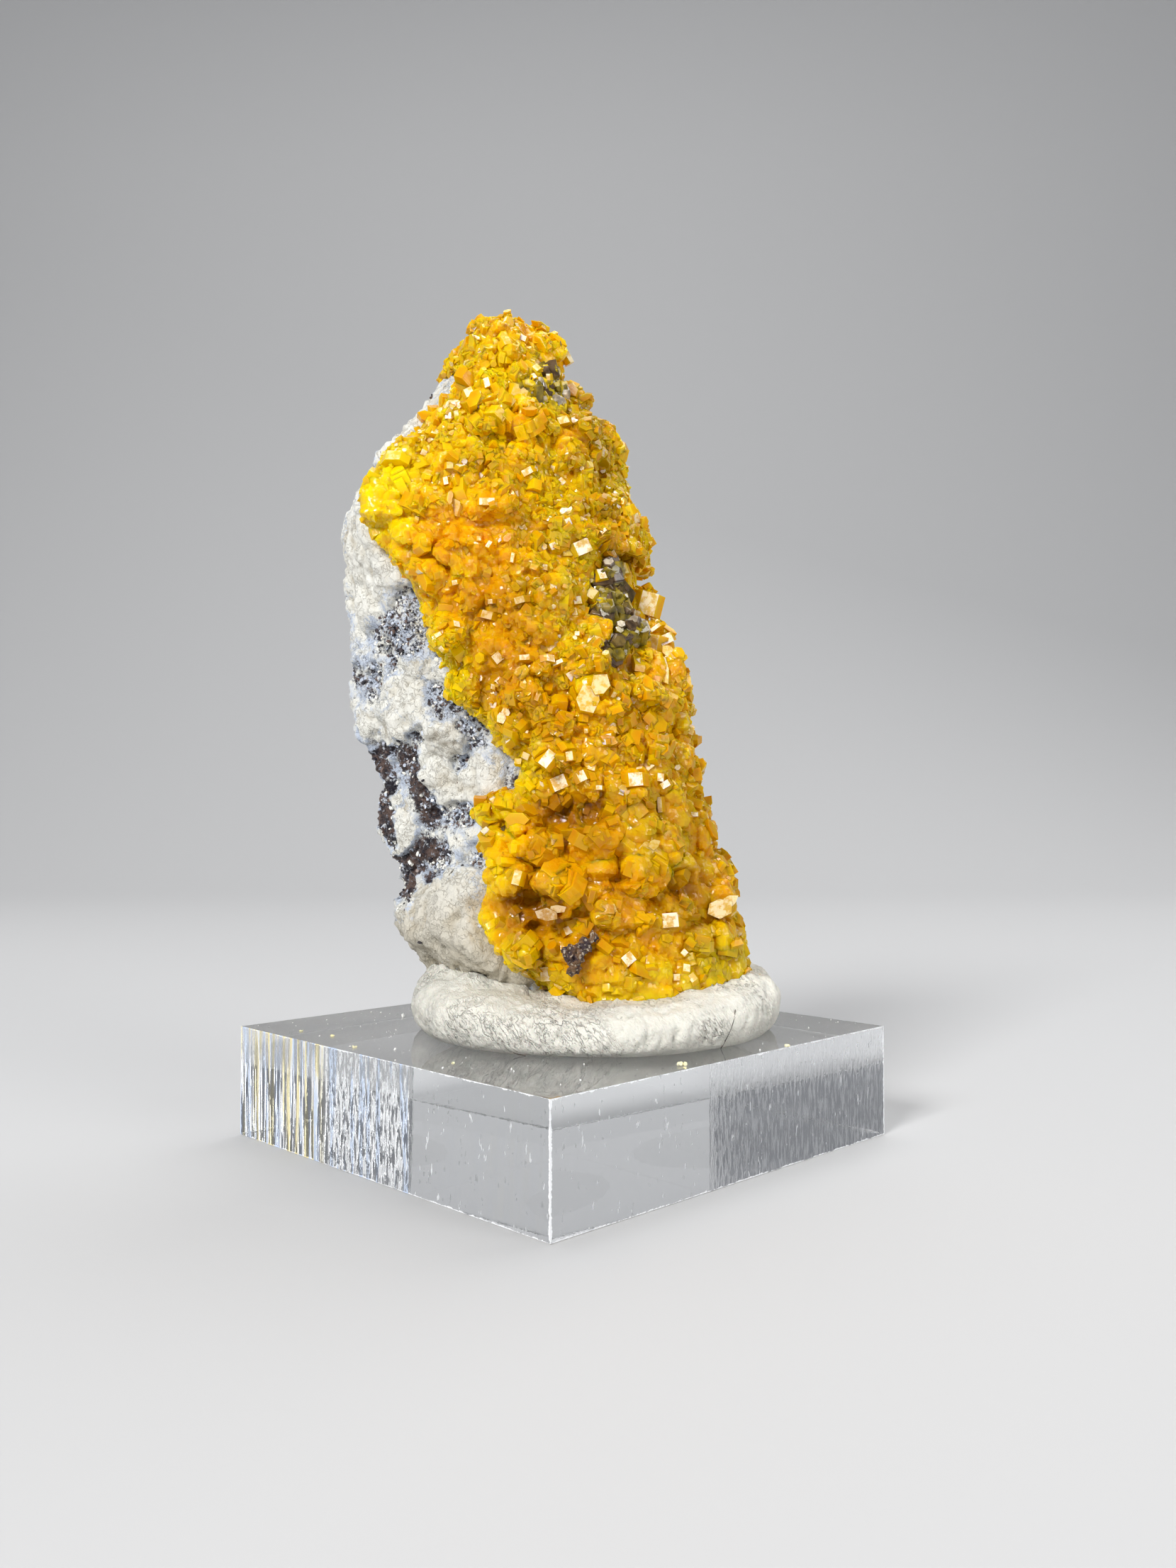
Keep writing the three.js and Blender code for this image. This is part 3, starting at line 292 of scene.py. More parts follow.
# The floor, in millimetres on the stone's frame: half its width, where it starts and how far it runs back,
# the backdrop's curve, and how far it lies below the block
FLOOR_HALF = 700.0
FLOOR_START = -400.0
FLOOR_RUN = 700.0
CURVE_RADIUS = 500.0
FLOOR_DROP = 0.06


# The stone's frame and the CAD nodes


def in_row(across, away, up):
    """A point of the stone's own frame, in the row frame in metres"""
    return STONE_TO_ROW @ Vector((across, away, up))


def in_stone(points):
    """Points of the row frame as rows of (across, away, up)"""
    return np.asarray(points, float).reshape(-1, 3) @ np.array(ROW_TO_STONE).T


def tree_of(objects):
    """A search tree over the meshes of several objects"""
    bm = bmesh.new()
    for thing in objects:
        bm.from_mesh(thing.data)
    tree = BVHTree.FromBMesh(bm)
    bm.free()
    return tree


def seen_from_front(tree, across, up):
    """The place and outward normal where the stone's front meets a line of sight along its away axis"""
    start = in_row(across, FAR_IN_FRONT, up)
    point, normal, _, _ = tree.ray_cast(start, STONE_TO_ROW.col[1].normalized())
    return point, normal


def ramp(values, low, high):
    """Values from low to high as 0 to 1, eased"""
    t = np.clip((values - low) / (high - low), 0, 1)
    return t * t * (3 - 2 * t)


def zone_share(stone, zones, reach=CRUST_REACH):
    """How strongly soft zones on the stone's front colour each point: 0 to 1"""
    share = np.zeros(len(stone))
    for across, up, wide, tall, strength in zones:
        far = ((stone[:, 0] - across) / wide) ** 2 + ((stone[:, 2] - up) / tall) ** 2
        share = np.maximum(share, strength * np.exp(-0.55 * far**1.6))
    return share * ramp(stone[:, 1], reach, reach - FADE)


def noise_rows(stone, scale, shift=0.0):
    """Smooth noise at each point, about -1 to 1, with the scale in features per millimetre"""
    return np.array([noise.noise(Vector(p) * scale + Vector((shift, -shift, shift * 0.5))) for p in stone])


def strayed(stone, scale, distance):
    """Points moved about at random across the front, so that zones get ragged outlines"""
    moved = stone.copy()
    wander = [noise_rows(stone, scale, shift) for shift in (3.0, 11.0)]
    moved[:, [0, 2]] += distance * np.stack(wander, axis=1)
    return moved


def chances(cells):
    """Four numbers from 0 to 1 for each cell, which stay the same for the same cell"""
    keys = np.array(
        [(12.9898, 78.233, 37.719), (93.989, 67.345, 11.135), (45.164, 23.917, 81.633), (31.17, 57.31, 9.57)]
    )
    return np.modf(np.abs(np.sin(cells @ keys.T)) * 43758.5453)[0]


def facets(stone, size, depth, tilt):
    """Heights of flat, tilted faces like those of crowded crystals, with a usual size in millimetres"""
    cells = np.array([noise.voronoi(Vector(p) / size)[1][0] for p in stone])
    chance = chances(cells)
    offset = stone - cells * size
    return depth * (chance[:, 0] - 0.5) + tilt * np.einsum("ij,ij->i", offset, chance[:, 1:] - 0.5)


def masses(stone, size):
    """How high rounded masses of a usual size stand at each point: 1 on their tops, 0 in the grooves"""
    nearest = [noise.voronoi(Vector(p) / size)[0] for p in stone]
    gaps = np.array([distances[1] - distances[0] for distances in nearest])
    return np.sqrt(np.clip(gaps * 1.7, 0, 1))


def seam_closeness(stone, reach):
    """1 on the seam between crust and matrix, falling to 0 at a reach in millimetres"""
    closest = np.full(len(stone), np.inf)
    flat = stone[:, [0, 2]]
    for start, end in zip(SEAM[:-1], SEAM[1:]):
        a, b = np.array(start), np.array(end)
        t = np.clip(((flat - a) @ (b - a)) / ((b - a) @ (b - a)), 0, 1)
        closest = np.minimum(closest, np.linalg.norm(flat - a - t[:, None] * (b - a), axis=1))
    return np.where(stone[:, 1] < CRUST_REACH, np.clip(1 - closest / reach, 0, 1), 0.0)


# Meshes and pieces


def rows_of(layer, key):
    """A mesh layer's vectors as rows"""
    rows = np.empty(len(layer) * 3, np.float32)
    layer.foreach_get(key, rows)
    return rows.reshape(-1, 3).astype(float)


def coordinates(mesh):
    """A mesh's vertices as rows"""
    return rows_of(mesh.vertices, "co")


def normals_of(mesh):
    """A mesh's vertex normals as rows"""
    return rows_of(mesh.vertex_normals, "vector")


def mesh_from(bm, name):
    """A finished bmesh as a mesh"""
    mesh = bpy.data.meshes.new(name)
    bm.to_mesh(mesh)
    bm.free()
    return mesh


def even_copy(node, voxel, smoothing):
    """A CAD node's shape rebuilt with small even faces, its edges eased"""
    bm = bmesh.new()
    bm.from_mesh(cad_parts[node].data)
    bmesh.ops.remove_doubles(bm, verts=bm.verts, dist=0.002 * MM)
    rough = mesh_from(bm, "rough")
    holder = bpy.data.objects.new("rough", rough)
    bpy.context.scene.collection.objects.link(holder)
    remesh = holder.modifiers.new("even", "REMESH")
    remesh.mode = "VOXEL"
    remesh.voxel_size = voxel
    smooth = holder.modifiers.new("eased", "SMOOTH")
    smooth.factor = 0.5
    smooth.iterations = smoothing
    bpy.context.view_layer.update()
    mesh = bpy.data.meshes.new_from_object(holder.evaluated_get(bpy.context.evaluated_depsgraph_get()))
    bpy.data.objects.remove(holder)
    bpy.data.meshes.remove(rough)
    return mesh


def move_out(mesh, distance):
    """Moves each vertex along its normal by a distance in metres, one for all or one for each"""
    points = coordinates(mesh) + normals_of(mesh) * np.reshape(distance, (-1, 1))
    mesh.vertices.foreach_set("co", points.astype(np.float32).ravel())
    mesh.update()


def paint(mesh, name, values, domain="POINT"):
    """Stores a number for each vertex or face, or four as a colour, where the material reads them"""
    values = np.asarray(values, np.float32)
    kind, key = ("FLOAT", "value") if values.ndim == 1 else ("FLOAT_COLOR", "color")
    mesh.attributes.new(name, kind, domain).data.foreach_set(key, values.ravel())


def add_piece(name, mesh, material, replaced=(), smooth=False):
    """A finished mesh as a piece that rides on the specimen"""
    mesh.name = name
    mesh.materials.clear()
    mesh.materials.append(material)
    mesh.polygons.foreach_set("use_smooth", [smooth] * len(mesh.polygons))
    piece = bpy.data.objects.new(name, mesh)
    bpy.context.scene.collection.objects.link(piece)
    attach(piece, BODY)
    if replaced:
        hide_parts(*replaced)
    return piece


def add_speck(bm, place, turn, sizes):
    """A small rounded grain in a bmesh"""
    shape = Matrix.Translation(place) @ turn.to_matrix().to_4x4() @ Matrix.Diagonal((*sizes, 1))
    bmesh.ops.create_icosphere(bm, subdivisions=1, radius=1.0, matrix=shape)


# Crystals


def crystal_shape(taper, rim, lying):
    """A six-sided crystal, its top face at half a unit: its vertices, its faces and which face is on top"""
    bm = bmesh.new()
    bmesh.ops.create_cone(bm, cap_ends=True, segments=SIDES, radius1=1.0, radius2=taper, depth=1.0)
    bmesh.ops.recalc_face_normals(bm, faces=bm.faces)
    if rim:
        end = max(bm.faces, key=lambda face: face.calc_center_median().z)
        bmesh.ops.inset_region(bm, faces=[end], thickness=rim, depth=0.0, use_even_offset=True)
        bmesh.ops.translate(bm, verts=end.verts, vec=(0, 0, rim * 0.5))
    if lying:
        side = max(bm.faces, key=lambda face: face.normal.x)
        upright = Vector(side.normal).rotation_difference(Vector((0, 0, 1))).to_matrix()
        length = upright @ Vector((0, 0, 1))
        along = length.rotation_difference(Vector((0, 1, 0))).to_matrix()
        bmesh.ops.rotate(bm, verts=bm.verts, cent=(0, 0, 0), matrix=along @ upright)
        bmesh.ops.scale(bm, verts=bm.verts, vec=(2, 2, 0.6))
    highest = max(face.calc_center_median().z for face in bm.faces)
    bmesh.ops.translate(bm, verts=bm.verts, vec=(0, 0, 0.5 - highest))
    bm.normal_update()
    bm.verts.index_update()
    vertices = np.array([vertex.co for vertex in bm.verts])
    faces = [[vertex.index for vertex in face.verts] for face in bm.faces]
    on_top = [face.normal.z > 0.9 and face.calc_center_median().z > 0.2 for face in bm.faces]
    bm.free()
    return vertices, faces, on_top


def crystal_turns(axes, spins):
    """Turning matrices that stand a crystal's top on each axis, spun about it"""
    aside = np.where(np.abs(axes[:, 2:3]) < 0.8, [[0.0, 0.0, 1.0]], [[1.0, 0.0, 0.0]])
    first = np.cross(aside, axes)
    first /= np.linalg.norm(first, axis=1, keepdims=True)
    second = np.cross(axes, first)
    cosine, sine = np.cos(spins)[:, None], np.sin(spins)[:, None]
    return np.stack([first * cosine + second * sine, second * cosine - first * sine, axes], axis=2)


class Druse:
    """Copies of crystals, gathered into one mesh"""

    def __init__(self, rng):
        self.rng = rng
        self.shapes = {name: crystal_shape(*values) for name, values in CRYSTAL_SHAPES.items()}
        self.vertices = []
        self.faces = []
        self.frosts = []
        self.layers = {"tone": [], "zones": [], "tip": []}
        self.count = 0

    def add(self, shape, tops, turns, sizes, tones, frosts, zones, uneven):
        """Crystals of one shape with their top faces at given points and their corners moved unevenly"""
        vertices, faces, on_top = self.shapes[shape]
        corner = np.round(np.arctan2(vertices[:, 1], vertices[:, 0]) / math.tau * SIDES).astype(int) % SIDES
        stretch = 1 + uneven * self.rng.uniform(-1, 1, (len(tops), SIDES))[:, corner]
        if shape == "lying":
            stretch[:] = 1
        sized = vertices[None] * sizes[:, None]
        sized[:, :, :2] *= stretch[:, :, None]
        middles = tops - turns[:, :, 2] * (sizes[:, 2:] / 2)
        self.vertices.append((np.einsum("nij,nvj->nvi", turns, sized) + middles[:, None]).reshape(-1, 3))
        for k in range(len(tops)):
            first = self.count + k * len(vertices)
            self.faces += [[first + index for index in face] for face in faces]
            self.frosts += [frosts[k] if top else 0.0 for top in on_top]
        self.layers["tone"].append(np.repeat(tones, len(vertices)))
        self.layers["zones"].append(np.repeat(zones, len(vertices), axis=0))
        # The tip runs from a crystal's foot to its top; the material paints shade low and a highlight on top
        # from it
        self.layers["tip"].append(np.tile(ramp(vertices[:, 2], -0.3, 0.5), len(tops)))
        self.count += len(tops) * len(vertices)

    def mesh(self):
        """The gathered crystals as one mesh with what its material reads"""
        mesh = bpy.data.meshes.new("druse")
        mesh.from_pydata(np.concatenate(self.vertices).tolist(), [], self.faces)
        mesh.update()
        paint(mesh, "frost", self.frosts, "FACE")
        for name, parts in self.layers.items():
            paint(mesh, name, np.concatenate(parts))
        return mesh


def places_on(mesh, count, rng, wanted):
    """Random places spread evenly over a mesh where it is wanted: points and normals"""
    mesh.calc_loop_triangles()
    corners = np.empty(len(mesh.loop_triangles) * 3, np.int32)
    mesh.loop_triangles.foreach_get("vertices", corners)
    corners = corners.reshape(-1, 3)
    points, normals = coordinates(mesh), normals_of(mesh)
    a, b, c = (points[corners[:, k]] for k in range(3))
    areas = np.linalg.norm(np.cross(b - a, c - a), axis=1)
    facing = normals[corners].mean(axis=1)
    weights = areas * wanted((a + b + c) / 3, facing)
    chosen = rng.choice(len(areas), size=count, p=weights / weights.sum())
    u, v = rng.random((2, count, 1))
    over = u + v > 1
    u, v = np.where(over, 1 - u, u), np.where(over, 1 - v, v)
    spots = a[chosen] + u * (b - a)[chosen] + v * (c - a)[chosen]
    facing = facing[chosen]
    return spots, facing / np.linalg.norm(facing, axis=1, keepdims=True)


def leaned(normals, rng, lean):
    """Axes that lean at random from the normals"""
    axes = normals + rng.normal(0, lean / 2, normals.shape)
    return axes / np.linalg.norm(axes, axis=1, keepdims=True)


def outward(points, normals):
    """1 where a face of the crust looks out of the stone, 0 where it looks at the matrix"""
    matrix = coordinates(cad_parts["matrix"].data)
    levels = np.linspace(matrix[:, 2].min(), matrix[:, 2].max(), LEVELS)
    near = [matrix[np.abs(matrix[:, 2] - z) < LEVEL_REACH].mean(axis=0) for z in levels]
    middle = np.stack([np.interp(points[:, 2], levels, [p[k] for p in near]) for k in range(3)], axis=1)
    return (np.einsum("ij,ij->i", points - middle, normals) > 0).astype(float)


def zone_rows(stone):
    """The four colour zones of the crust at each point: lemon, orange, olive and amber. Orange and amber in
    the grooves between masses, and amber towards the bottom, are painted shade
    """
    moved = strayed(stone, 0.45, 1.0)
    lemon, orange, olive, amber = (zone_share(moved, zones) for zones in ZONE_LISTS)
    lemon = np.maximum(lemon, seam_closeness(moved, 3.0) * (stone[:, 2] < SEAM_TOP))
    plain = 1 - 0.8 * lemon
    high_up = ramp(stone[:, 2], *HIGH_UP)
    low_down = ramp(stone[:, 2], *DEEPER_COLOURS_AND_SHADE)
    left_low = low_down * ramp(stone[:, 0], 9.0, 4.0)
    grooves = 1 - masses(moved, MASS_SIZE)
    wander = noise_rows(stone, 0.22, 7.0)
    behind = stone[:, 1] >= CRUST_REACH
    # Painted shade: orange in the grooves between the masses
    between = np.maximum(0.4 * ramp(wander, 0.1, 0.5), 0.6 * grooves) * (1 - 0.5 * high_up)
    between = np.maximum(between, 0.7 * left_low) * plain
    orange = np.where(behind, ramp(wander, 0.0, 0.5), np.maximum(orange, between))
    wide_olive = 0.5 * ramp(-wander, 0.1, 0.5) * plain
    olive = np.where(behind, ramp(-wander, 0.05, 0.45), np.maximum(olive, wide_olive))
    off_bulge = 1 - 0.8 * zone_share(moved, BULGE)
    lemon = np.maximum(lemon, 0.4 * high_up)
    # Painted shade: amber towards the bottom and in the grooves
    amber = np.maximum(amber, np.maximum(0.32 * low_down, 0.18 * grooves) * plain)
    return np.stack([lemon, orange * off_bulge, olive * off_bulge, amber], axis=1)


# Materials


def new_material(name):
    """A material with an empty principled shader, and a helper that adds and wires nodes"""
    material = bpy.data.materials.new(name)
    material.use_nodes = True
    return material, Wiring(material.node_tree)


class Wiring:
    """Adds nodes to a material and joins them"""

    def __init__(self, tree):
        self.tree = tree
        self.shader = tree.nodes["Principled BSDF"]
        self.place = tree.nodes.new("ShaderNodeTexCoord").outputs["Object"]

    def set(self, node, socket, value):
        """Gives a socket a plain value, or joins it to another node's output"""
        target = node.inputs[socket]
        if isinstance(value, bpy.types.NodeSocket):
            self.tree.links.new(value, target)
        else:
            target.default_value = value

    def add(self, kind, inputs, **options):
        """The outputs of a new node with its options and inputs set"""
        node = self.tree.nodes.new("ShaderNode" + kind)
        for name, value in options.items():
            setattr(node, name, value)
        for socket, value in inputs.items():
            self.set(node, socket, value)
        return node.outputs

    def shade(self, **values):
        """Sets the shader's own sockets"""
        for socket, value in values.items():
            self.set(self.shader, socket.replace("_", " "), value)

    def bump(self, height, distance, strength=1.0):
        """Fine relief, with its depth in metres"""
        inputs = {"Height": height, "Distance": distance, "Strength": strength}
        self.set(self.shader, "Normal", self.add("Bump", inputs)["Normal"])

    def painted(self, name, output="Fac"):
        """A value stored on the mesh"""
        return self.add("Attribute", {}, attribute_name=name)[output]

    def split_place(self, axis):
        """One of the Object coordinates"""
        return self.add("SeparateXYZ", {"Vector": self.place})[axis]

    def split(self, colour):
        """A colour's three parts"""
        return self.add("SeparateColor", {"Color": colour})

    def math(self, operation, first, second=0.0):
        """A sum, product or the like of two values"""
        return self.add("Math", {0: first, 1: second}, operation=operation)["Value"]

    def times(self, first, second):
        """The product of two values"""
        return self.math("MULTIPLY", first, second)

    def most(self, first, second):
        """The larger of two values"""
        return self.math("MAXIMUM", first, second)

    def vector(self, operation, first, second, output="Vector"):
        """A sum, product or the like of two vectors"""
        return self.add("VectorMath", {0: first, 1: second}, operation=operation)[output]

    def map(self, value, low, high, to_low=0.0, to_high=1.0):
        """A value from one range to another, clamped and eased"""
        inputs = {"Value": value, "From Min": low, "From Max": high, "To Min": to_low, "To Max": to_high}
        return self.add("MapRange", inputs, interpolation_type="SMOOTHSTEP")["Result"]

    def blend(self, share, first, second):
        """One value over another"""
        return self.add("Mix", {0: share, 2: first, 3: second})[0]

    def mix(self, share, low, high):
        """One colour over another"""
        return self.add("Mix", {"Factor": share, "A": low, "B": high}, data_type="RGBA")["Result"]

    def layers(self, colour, *above):
        """Colours laid over the first one in turn, each as (share, colour)"""
        for share, over in above:
            colour = self.mix(share, colour, over)
        return colour

    def adjust(self, colour, value, hue=0.5):
        """A colour brightened and turned"""
        return self.add("HueSaturation", {"Color": colour, "Hue": hue, "Value": value})["Color"]

    def stretched(self, stretch, turn):
        """Object coordinates along turned axes, scaled apart"""
        if stretch is None:
            return self.place
        scale = tuple(1 / share for share in stretch)
        inputs = {"Vector": self.place, "Rotation": turn, "Scale": scale}
        return self.add("Mapping", inputs, vector_type="TEXTURE")["Vector"]

    def noise(self, scale, detail=2.0, roughness=0.5, stretch=None, turn=(0, 0, 0)):
        """Smooth noise with a scale in features per metre"""
        place = self.stretched(stretch, turn)
        inputs = {"Vector": place, "Scale": scale, "Detail": detail, "Roughness": roughness}
        return self.add("TexNoise", inputs)["Fac"]

    def crack(self, field, width):
        """Thin lines where a smooth noise passes its middle value"""
        apart = self.math("ABSOLUTE", self.math("SUBTRACT", field, 0.5))
        return self.map(apart, 0.0, width, 1.0, 0.0)

    def facets(self, scale, lean):
        """Heights of crowded flat faces that lean at random, with a scale in faces per metre"""
        cells = self.add("TexVoronoi", {"Vector": self.place, "Scale": scale}, distance="CHEBYCHEV")
        offset = self.vector("SUBTRACT", self.place, cells["Position"])
        tilt = self.vector("SUBTRACT", cells["Color"], (0.5, 0.5, 0.5))
        return self.times(self.vector("DOT_PRODUCT", offset, tilt, "Value"), lean)


def mottled_material(name, scale, low, high, roughness):
    """A plain material that wavers between two colours"""
    material, wire = new_material(name)
    wire.shade(Base_Color=wire.mix(wire.noise(scale), low, high), Roughness=roughness)
    return material


def mimetite_material(name, colours, clarity, glow_depth, glow, faceting):
    """Honey-coloured crystal whose zones run from lemon over orange to olive, with painted shade low down and
    painted highlights on its tips and frosted faces
    """
    material, wire = new_material(name)
    zones = wire.split(wire.painted("zones", "Color"))
    tone = wire.painted("tone")
    tip = wire.painted("tip")
    frost = wire.painted("frost")
    zoned = wire.layers(
        colours.gold,
        (wire.noise(260, 3.0), colours.honey),
        (zones["Red"], colours.lemon),
        (zones["Green"], colours.orange),
        (zones["Blue"], colours.olive),
    )
    zoned = wire.adjust(zoned, wire.map(tone, 0.0, 1.0, 0.88, 1.06), wire.map(tone, 0.0, 1.0, 0.495, 0.505))
    # Painted shade: a deeper orange low on each crystal and deep between the masses, weaker in the lemon
    # zones
    sunk = wire.times(wire.map(tip, 0.25, 0.95, 0.7, 0.0), wire.map(zones["Red"], 0.2, 1.0, 1.0, 0.3))
    mottling = wire.map(wire.noise(1500, 4.0, 0.7), 0.38, 0.58)
    frosted = wire.times(frost, wire.map(mottling, 0.0, 1.0, 0.6, 1.0))
    colour = wire.layers(
        zoned,
        (sunk, colours.depth),
        # Painted highlight: tips and tops lightened towards lemon
        (wire.map(tip, 0.8, 1.0, 0.0, 0.28), colours.lemon),
        (wire.map(wire.noise(1300, 4.0, 0.65), 0.38, 0.68, 0.0, 0.3), colours.lemon),
        # Amber from the zones: partly painted shade in hollows, in grooves and towards the bottom
        (wire.painted("zones", "Alpha"), colours.amber),
        (wire.map(wire.noise(900, 4.0, 0.65), 0.66, 0.74, 0.0, 0.55), colours.amber),
        # Frosted faces painted pale: partly frosted crystal faces, partly painted glints
        (frosted, wire.mix(mottling, colours.tan, colours.frost)),
    )
    matt = wire.map(wire.noise(2600, 3.0, 0.6), 0.4, 0.75, 0.03, 0.14)
    wire.shade(
        Base_Color=colour,
        Roughness=wire.most(matt, wire.times(frost, 0.4)),
        IOR=1.62,
        Specular_IOR_Level=0.2,
        Subsurface_Weight=0.85,
        Subsurface_Radius=glow,
        Subsurface_Scale=glow_depth,
        Transmission_Weight=wire.map(frost, 0.0, 1.0, clarity, 0.0),
    )
    relief = wire.times(wire.noise(3800, 3.0, 0.6), 0.03 * MM)
    if faceting:
        for scale in (1050, 2300):
            relief = wire.math("ADD", relief, wire.facets(scale, faceting))
    wire.bump(relief, 1.0)
    return material


# Settings


def length_setting(name, description, millimetres):
    """A setting for a size"""
    return FloatProperty(name=name, description=description, default=millimetres * MM, unit="LENGTH")


def angle_setting(name, description, degrees):
    """A setting for an angle"""
    return FloatProperty(name=name, description=description, default=math.radians(degrees), unit="ROTATION")


def number_setting(name, description, default, subtype="NONE"):
    """A setting for a share or a strength"""
    return FloatProperty(name=name, description=description, default=default, subtype=subtype)


def count_setting(name, description, default):
    """A setting for a count or a seed"""
    return IntProperty(name=name, description=description, default=default)


def colour_setting(name, description, *parts):
    """A setting for a colour"""
    colour = (*parts, 1)
    return FloatVectorProperty(name=name, description=description, default=colour, size=4, subtype="COLOR")


class MatrixSettings(bpy.types.PropertyGroup):
    """Sizes and colours of the matrix rock"""

    voxel: length_setting("Grain of the mesh", "Size of the rock's faces", 0.235)
    grain_radius: length_setting("Grain radius", "Largest radius of a grain", 0.18)
    lumps: length_setting("Lumps", "Height of the coating's lumps", 0.34)
    rock_depth: length_setting("Bare depth", "How deep bare rock lies", 0.45)
    rock_gloss: number_setting("Rock gloss", "Roughness of the bare ridges", 0.3, "FACTOR")
    grains: count_setting("Grains", "Number of loose grains on the bare rock", 2000)
    seed: count_setting("Seed", "Seed of the grains", 11)
    coating: colour_setting("Coating", "The chalky coating", 0.97, 0.955, 0.87)
    # Painted shade on the coating: darker in its hollows, its cracks and lower down, and in patches at random
    painted_coating_shade: colour_setting("Coating in hollows", "The coating's warm hollows", 0.60, 0.53, 0.40)
    film: colour_setting("Film", "The thin bluish film", 0.64, 0.71, 0.83)
    dark: colour_setting("Rock", "The dark rock", 0.022, 0.018, 0.026)
    brown: colour_setting("Brown rock", "Rock stained brown", 0.15, 0.095, 0.075)


class CrustSettings(bpy.types.PropertyGroup):
    """Sizes and colours of the mimetite crust"""

    voxel: length_setting("Grain of the mesh", "Size of the bed's faces", 0.26)
    relief: length_setting("Relief", "Height of the bed's facets", 0.55)
    fine: count_setting("Fine crystals", "Number of fine crystals", 5600)
    middling: count_setting("Middling crystals", "Number of middling crystals", 1100)
    fine_radius: length_setting("Fine radius", "Usual radius of a fine crystal", 0.3)
    middling_radius: length_setting("Middling radius", "Usual radius of a middling crystal", 0.4)
    # Frosted ends are painted pale: partly the crystals' frosted faces, partly painted glints
    frosted: number_setting("Frosted ends", "Share of crystals with a frosted end", 0.08, "FACTOR")
    lean: number_setting("Lean", "How far crystals lean from upright", 0.85)
    seed: count_setting("Seed", "Seed of the crystals", 4)
    gold: colour_setting("Gold", "The crust's main colour", 0.92, 0.625, 0.002)
    honey: colour_setting("Honey", "Its deeper shade", 0.88, 0.475, 0.0015)
    # Lemon also serves as the painted highlight on tips and tops
    lemon: colour_setting("Lemon", "Its lemon zones", 0.91, 0.66, 0.002)
    orange: colour_setting("Orange", "Its orange zones", 0.88, 0.365, 0.001)
    olive: colour_setting("Olive", "Its olive zones", 0.54, 0.38, 0.003)
    # Amber is laid as painted shade in hollows, in grooves and towards the bottom, and in dark patches at
    # random
    amber: colour_setting("Amber", "Its dark hollows", 0.27, 0.085, 0.001)
    # Depth is painted shade: low on each crystal and deep between the masses
    depth: colour_setting("Depth", "Deep between the crystals", 0.84, 0.34, 0.001)
    # Frost: pale frosted faces, partly painted glints
    frost: colour_setting("Frost", "Frosted end faces", 0.92, 0.83, 0.64)
    tan: colour_setting("Tan", "Mottling of the frosted faces", 0.62, 0.40, 0.17)


class DuftiteSettings(bpy.types.PropertyGroup):
    """Sizes and colours of the dark pockets and the crumb"""

    voxel: length_setting("Grain of the mesh", "Size of the beds' faces", 0.25)
    radius: length_setting("Radius", "Usual radius of a crystal", 0.5)
    crystals: count_setting("Crystals", "Crystals in the larger pocket", 260)
    seed: count_setting("Seed", "Seed of the crystals", 21)
    olive: colour_setting("Olive", "Olive crystals", 0.20, 0.145, 0.010)
    smoke: colour_setting("Smoke", "Smoky crystals", 0.085, 0.052, 0.026)
    yellow: colour_setting("Yellow", "Yellow crystals among them", 0.52, 0.35, 0.008)
    pale: colour_setting("Pale", "Pale end faces", 0.68, 0.60, 0.47)
    crumb_voxel: length_setting("Grain of the crumb", "Size of the crumb's faces", 0.12)
    pits: length_setting("Pits", "Depth of the crumb's pits", 0.3)
    iron: colour_setting("Iron oxide", "The crumb", 0.045, 0.03, 0.034)
    rust: colour_setting("Rust", "Rusty patches of the crumb", 0.15, 0.085, 0.045)
    fleck: colour_setting("Flecks", "Pale flecks on the crumb", 0.42, 0.36, 0.28)


class PuttySettings(bpy.types.PropertyGroup):
    """Sizes and colours of the putty pad"""

    voxel: length_setting("Grain of the mesh", "Size of the putty's faces", 0.24)
    swell: length_setting("Swell", "Height of the thumbed swells", 0.16)
    pit: length_setting("Pits", "Depth of the pits", 0.26)
    body: colour_setting("Putty", "The putty", 0.81, 0.79, 0.70)
    # Darkens the creases as painted shade and dirt, and gives the putty its fine dirty spots
    grime_and_shade: colour_setting("Grime", "Grime in its creases", 0.22, 0.20, 0.17)


class BlockSettings(bpy.types.PropertyGroup):
    """Sizes and colours of the clear block, and the dust on it"""

    saw_pitch: length_setting("Saw pitch", "Distance between saw marks", 0.34)
    saw_depth: length_setting("Saw depth", "Depth of the saw marks", 0.013)
    dust: count_setting("Dust", "Number of dust grains", 260)
    dust_size: length_setting("Dust size", "Usual radius of a dust grain", 0.03)
    seed: count_setting("Seed", "Seed of the marks and the dust", 9)
    clear: colour_setting("Clear", "The polished top", 0.99, 0.99, 0.99)
    haze: colour_setting("Haze", "The sawn sides", 0.94, 0.955, 0.97)
    # Gold and blue are painted light: coloured glints in the saw marks of the left side
    gold: colour_setting("Gold", "Golden streaks on the left side", 1.0, 0.86, 0.42)
    blue: colour_setting("Blue", "Bluish streaks on the left side", 0.66, 0.78, 1.0)


